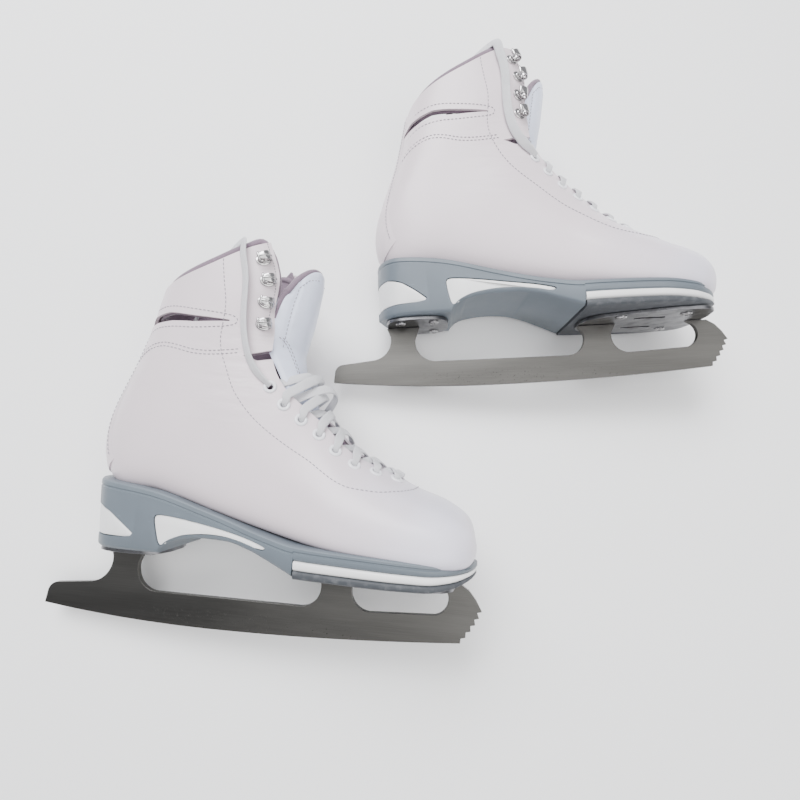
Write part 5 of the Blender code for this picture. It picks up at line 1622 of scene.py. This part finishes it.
PLATE_SLOT = (257.0, 13.0, 24.0, 4.6)     # x, distance from the middle, length, width
SOLE_PLATE_X = (205.0, 304.0)
HEEL_PLATE_X = (47.0, 98.0)
BLADE_THICKNESS = 3.8
EDGE_LENGTH = 308.0
ROCKER_DROP = 7.3
ROCKER_LOW_X = 130.0
RUNNER_HEIGHT = 15.0
PICK_COUNT = 6
PICK_LEAD = 14.0
PICK_RISE = 21.5
PICK_DEPTH = 3.2
HEEL_STANCHION = (49.5, 70.0)
SOLE_STANCHION = (209.0, 231.0)
WINDOW_RADIUS = 14.0
TOE_ARM_X = 299.0


def arc(centre, radius, start, end, steps):
    """Points on an arc, angles in degrees."""
    return [
        (centre[0] + radius * math.cos(math.radians(t)), centre[1] + radius * math.sin(math.radians(t)))
        for t in np.linspace(start, end, steps * 4 + 1)
    ]


def edge_height(x):
    """Height of the blade's running edge, a long shallow curve."""
    reach = ROCKER_LOW_X if x < ROCKER_LOW_X else EDGE_LENGTH - ROCKER_LOW_X
    return -ROCKER_DROP * (1 - ((x - ROCKER_LOW_X) / reach) ** 2)


def blade_outline():
    """The blade from the side: edge, toe picks, toe arm, windows and stanchions."""
    heel_top = HEEL_BOTTOM_Z - 2 * FIT - PLATE_THICKNESS
    sole_top = FORE_BOTTOM_Z - 2 * FIT - PLATE_THICKNESS
    low, high = HEEL_STANCHION
    runner = RUNNER_HEIGHT
    nose = EDGE_LENGTH + PICK_LEAD
    points = [(0.0, 0.0)]
    points += [(x, edge_height(x)) for x in np.arange(8.0, 300.0, 8.0)]
    for k in range(PICK_COUNT):
        f = k / (PICK_COUNT - 1)
        tip = np.array((EDGE_LENGTH + PICK_LEAD * (1 - (1 - f) ** 1.3), PICK_RISE * f ** 1.05))
        if k:
            points.append(tuple(tip + np.array((-PICK_DEPTH, -0.8))))
        points.append(tuple(tip))
    points += [(nose - 4.0, PICK_RISE + 7.0), (nose - 9.0, PICK_RISE + 13.0), (nose - 15.0, sole_top)]
    points += [(TOE_ARM_X - 8.0, sole_top)]
    r = WINDOW_RADIUS
    points += arc((TOE_ARM_X - 11.0, runner + 12.5), 11.0, 55, -80, 7)
    left, right = SOLE_STANCHION
    points += arc((right + r, runner - 0.5 + r), r, 270, 165, 6)
    points += [(right + 4.0, sole_top), (left - 5.0, sole_top)]
    points += arc((left - r, runner - 0.8 + r), r, 15, -90, 6)
    r = WINDOW_RADIUS + 3.0
    points += arc((high + r, runner - 0.4 + r), r, 270, 170, 7)
    points += [(high + 4.0, heel_top), (low - 3.0, heel_top)]
    points += arc((low - r, runner + 2.5 + r), r, 10, -85, 7)
    points += arc((8.5, runner - 7.5), 7.5, 95, 170, 4)
    return points


def make_blade(side, looks):
    half = BLADE_THICKNESS / 2
    shape = prism(blade_outline(), -half, half)
    blade = new_piece(side, "steel_blade", shape, finish_of(side, "steel", looks), smooth=25.0)
    fit(bevelled(blade, 0.28, 2, 30.0), side, ["blade"])


# ==================================== stage =======================================
CAMERA_OFFSET = (252.7, 68.4, 372.6)
CAMERA_FORWARD = (0.0366, 0.2257, -0.9735)
CAMERA_RIGHT = (0.9993, -0.0083, 0.0356)
CAMERA_LENS = 20.25
FLOOR_REACH = 4.0
# Name, place, size, watts and tint of each lamp; all of them face the floor's middle.
LAMPS = (
    ("window_light", (-0.5, 1.1, 1.5), (1.4, 1.0), 58.0, (0.97, 0.98, 1.0)),
    ("room_light", (0.9, -0.9, 1.4), (1.6, 1.2), 15.0, (1.0, 0.98, 0.96)),
    ("ceiling_light", (0.1, 0.1, 1.9), (2.4, 2.4), 38.0, (1.0, 1.0, 1.0)),
)
SKY_TINT = (0.94, 0.96, 1.0, 1.0)
SKY_STRENGTH = 0.5


def make_stage(looks):
    start = PLACES["left"].translation
    forward = Vector(CAMERA_FORWARD).normalized()
    right = Vector(CAMERA_RIGHT)
    right = (right - forward * right.dot(forward)).normalized()
    up = right.cross(forward)
    camera = bpy.data.cameras.new("photographer")
    camera.lens = CAMERA_LENS
    camera.sensor_width = 36.0
    camera.clip_start = 0.01
    eye = bpy.data.objects.new("photographer", camera)
    bpy.context.scene.collection.objects.link(eye)
    turn = Matrix((right, up, -forward)).transposed()
    eye.matrix_world = Matrix.Translation(start + Vector(CAMERA_OFFSET) * MM) @ turn.to_4x4()
    bpy.context.scene.camera = eye

    mesh = bpy.data.meshes.new("floor")
    reach = FLOOR_REACH
    mesh.from_pydata([(-reach, -reach, 0), (reach, -reach, 0), (reach, reach, 0), (-reach, reach, 0)],
                     [], [(0, 1, 2, 3)])
    floor = bpy.data.objects.new("floor", mesh)
    bpy.context.scene.collection.objects.link(floor)
    mat = bpy.data.materials.new("floor_paper")
    mat.use_nodes = True
    shader = mat.node_tree.nodes["Principled BSDF"]
    shader.inputs["Base Color"].default_value = (*looks.floor[:3], 1.0)
    shader.inputs["Roughness"].default_value = 0.9
    mesh.materials.append(mat)
    for name, spot, size, watts, tint in LAMPS:
        lamp = bpy.data.lights.new(name, "AREA")
        lamp.shape = "RECTANGLE"
        lamp.size, lamp.size_y = size
        lamp.energy = watts * looks.light
        lamp.color = tint
        obj = bpy.data.objects.new(name, lamp)
        obj.location = spot
        obj.rotation_euler = (-Vector(spot)).to_track_quat("-Z", "Y").to_euler()
        bpy.context.scene.collection.objects.link(obj)
    world = bpy.data.worlds.new("studio")
    world.use_nodes = True
    sky = world.node_tree.nodes["Background"]
    sky.inputs["Color"].default_value = SKY_TINT
    sky.inputs["Strength"].default_value = SKY_STRENGTH
    bpy.context.scene.world = world


# ================================= the add-on =====================================
def colour_choice(name, description, default):
    return bpy.props.FloatVectorProperty(
        name=name, description=description, default=default, subtype="COLOR", size=3, min=0.0, max=1.0
    )


def size_choice(name, description, default, low, high):
    return bpy.props.FloatProperty(
        name=name, description=description, default=default, min=low, max=high,
        subtype="DISTANCE", unit="LENGTH",
    )


class SkateLooks(bpy.types.PropertyGroup):
    """Colours and small sizes of the skates."""

    leather: colour_choice("Leather", "Colour of the boot leather", (0.74, 0.65, 0.69))
    leather_toe: colour_choice("Toe leather", "Cooler colour towards the toe", (0.76, 0.76, 0.88))
    lining: colour_choice("Lining", "Colour of the lining and its rolled edges", (0.27, 0.20, 0.26))
    tongue: colour_choice("Tongue", "Colour of the tongue's leather", (0.74, 0.79, 0.95))
    lace: colour_choice("Lace", "Colour of the laces", (0.84, 0.84, 0.87))
    thread: colour_choice("Thread", "Colour of the seam thread", (0.30, 0.28, 0.32))
    sole_grey: colour_choice("Sole frame", "Colour of the moulded sole", (0.125, 0.15, 0.175))
    sole_white: colour_choice("Sole windows", "Colour of the pale parts", (0.86, 0.86, 0.86))
    steel: colour_choice("Blade steel", "Colour of the blade", (0.105, 0.102, 0.096))
    floor: colour_choice("Floor", "Colour of the floor", (0.96, 0.96, 0.96))
    lace_width: size_choice("Lace width", "Width of the flat lace", 0.007, 0.004, 0.01)
    yarn_pitch: bpy.props.FloatProperty(
        name="Yarn pitch", description="Spacing of the braid's yarns, in millimetres",
        default=1.5, min=0.6, max=3.0,
    )
    slack: bpy.props.FloatProperty(
        name="Lace slack", description="How loosely the crossing laces lie", default=1.0,
        min=0.2, max=1.5,
    )
    stitch_pitch: size_choice("Stitch pitch", "From stitch to stitch", 0.0031, 0.002, 0.006)
    thread_width: size_choice("Thread width", "Thickness of the seam thread", 0.0006, 0.0003, 0.001)
    roll_width: size_choice("Rolled edge", "Thickness of the collar's rolled edge", 0.0046, 0.003, 0.007)
    eyelet_radius: size_choice("Eyelet radius", "Outer radius of an eyelet", 0.0047, 0.0035, 0.006)
    hook_width: size_choice("Hook width", "Width of a lace hook's curl", 0.0066, 0.005, 0.009)
    window_depth: size_choice("Window depth", "How deep the pale windows lie", 0.0004, 0.0001, 0.001)
    light: bpy.props.FloatProperty(
        name="Light", description="Strength of the studio lights", default=1.0, min=0.1, max=4.0
    )


def for_both(context, *makers):
    for side in SIDES:
        for maker in makers:
            maker(side, context.scene.skate_looks)
    return {"FINISHED"}


class SKATE_OT_stage(bpy.types.Operator):
    """Set up the floor, the lights and the camera"""

    bl_idname = "skate.stage"
    bl_label = "Stage"

    def execute(self, context):
        make_stage(context.scene.skate_looks)
        return {"FINISHED"}


class SKATE_OT_lace_ends(bpy.types.Operator):
    """Lay the free lace ends up the boots and down inside them"""

    bl_idname = "skate.lace_ends"
    bl_label = "Lace ends"

    def execute(self, context):
        for side in SIDES:
            for sign, word in ((1, "medial"), (-1, "lateral")):
                make_lace_end(side, sign, word, context.scene.skate_looks)
        return {"FINISHED"}


class SKATE_OT_laces(bpy.types.Operator):
    """Lace the boots across their tongues"""

    bl_idname = "skate.laces"
    bl_label = "Crossed laces"

    def execute(self, context):
        return for_both(context, make_laces)


class SKATE_OT_uppers(bpy.types.Operator):
    """Make the leather boots with their back strips"""

    bl_idname = "skate.uppers"
    bl_label = "Leather boots"

    def execute(self, context):
        return for_both(context, make_upper)


class SKATE_OT_seams(bpy.types.Operator):
    """Sew the seams of the boots, stitch by stitch"""

    bl_idname = "skate.seams"
    bl_label = "Seams"

    def execute(self, context):
        return for_both(context, make_seams)


class SKATE_OT_linings(bpy.types.Operator):
    """Make the linings, their rolled collars and the footbeds"""

    bl_idname = "skate.linings"
    bl_label = "Linings"

    def execute(self, context):
        return for_both(context, make_lining, make_footbed)


class SKATE_OT_eyelets(bpy.types.Operator):
    """Set the rows of enamelled eyelets"""

    bl_idname = "skate.eyelets"
    bl_label = "Eyelets"

    def execute(self, context):
        return for_both(context, make_eyelets)


class SKATE_OT_hooks(bpy.types.Operator):
    """Rivet on the lace hooks"""

    bl_idname = "skate.hooks"
    bl_label = "Lace hooks"

    def execute(self, context):
        return for_both(context, make_hooks)


class SKATE_OT_tongues(bpy.types.Operator):
    """Make the padded tongues with their bindings and seams"""

    bl_idname = "skate.tongues"
    bl_label = "Tongues"

    def execute(self, context):
        return for_both(context, make_tongue)


class SKATE_OT_soles(bpy.types.Operator):
    """Mould the sole units with their pale windows and treads"""

    bl_idname = "skate.soles"
    bl_label = "Sole units"

    def execute(self, context):
        return for_both(context, make_sole_frame, make_windows, make_forefoot)


class SKATE_OT_plates(bpy.types.Operator):
    """Screw on the mounting plates"""

    bl_idname = "skate.plates"
    bl_label = "Plates and screws"

    def execute(self, context):
        return for_both(context, make_plates)


class SKATE_OT_blades(bpy.types.Operator):
    """Grind the blades"""

    bl_idname = "skate.blades"
    bl_label = "Blades"

    def execute(self, context):
        return for_both(context, make_blade)


OPERATORS = (
    SKATE_OT_stage, SKATE_OT_lace_ends, SKATE_OT_laces, SKATE_OT_uppers, SKATE_OT_seams,
    SKATE_OT_linings, SKATE_OT_eyelets, SKATE_OT_hooks, SKATE_OT_tongues, SKATE_OT_soles,
    SKATE_OT_plates, SKATE_OT_blades,
)


class SKATE_PT_panel(bpy.types.Panel):
    """Choices and steps for the pair of skates"""

    bl_idname = "SKATE_PT_panel"
    bl_label = "Figure skates"
    bl_space_type = "VIEW_3D"
    bl_region_type = "UI"
    bl_category = "Skates"

    def draw(self, context):
        looks = context.scene.skate_looks
        for name in looks.bl_rna.properties.keys():
            if name not in {"rna_type", "name"}:
                self.layout.prop(looks, name)
        for operator in OPERATORS:
            self.layout.operator(operator.bl_idname)


def register():
    for cls in (SkateLooks, *OPERATORS, SKATE_PT_panel):
        bpy.utils.register_class(cls)
    bpy.types.Scene.skate_looks = bpy.props.PointerProperty(type=SkateLooks)


def unregister():
    del bpy.types.Scene.skate_looks
    for cls in reversed((SkateLooks, *OPERATORS, SKATE_PT_panel)):
        bpy.utils.unregister_class(cls)


def main():
    register()
    for operator in OPERATORS:
        group, name = operator.bl_idname.split(".")
        getattr(getattr(bpy.ops, group), name)()
    bpy.context.view_layer.update()


if __name__ == "__main__":
    main()
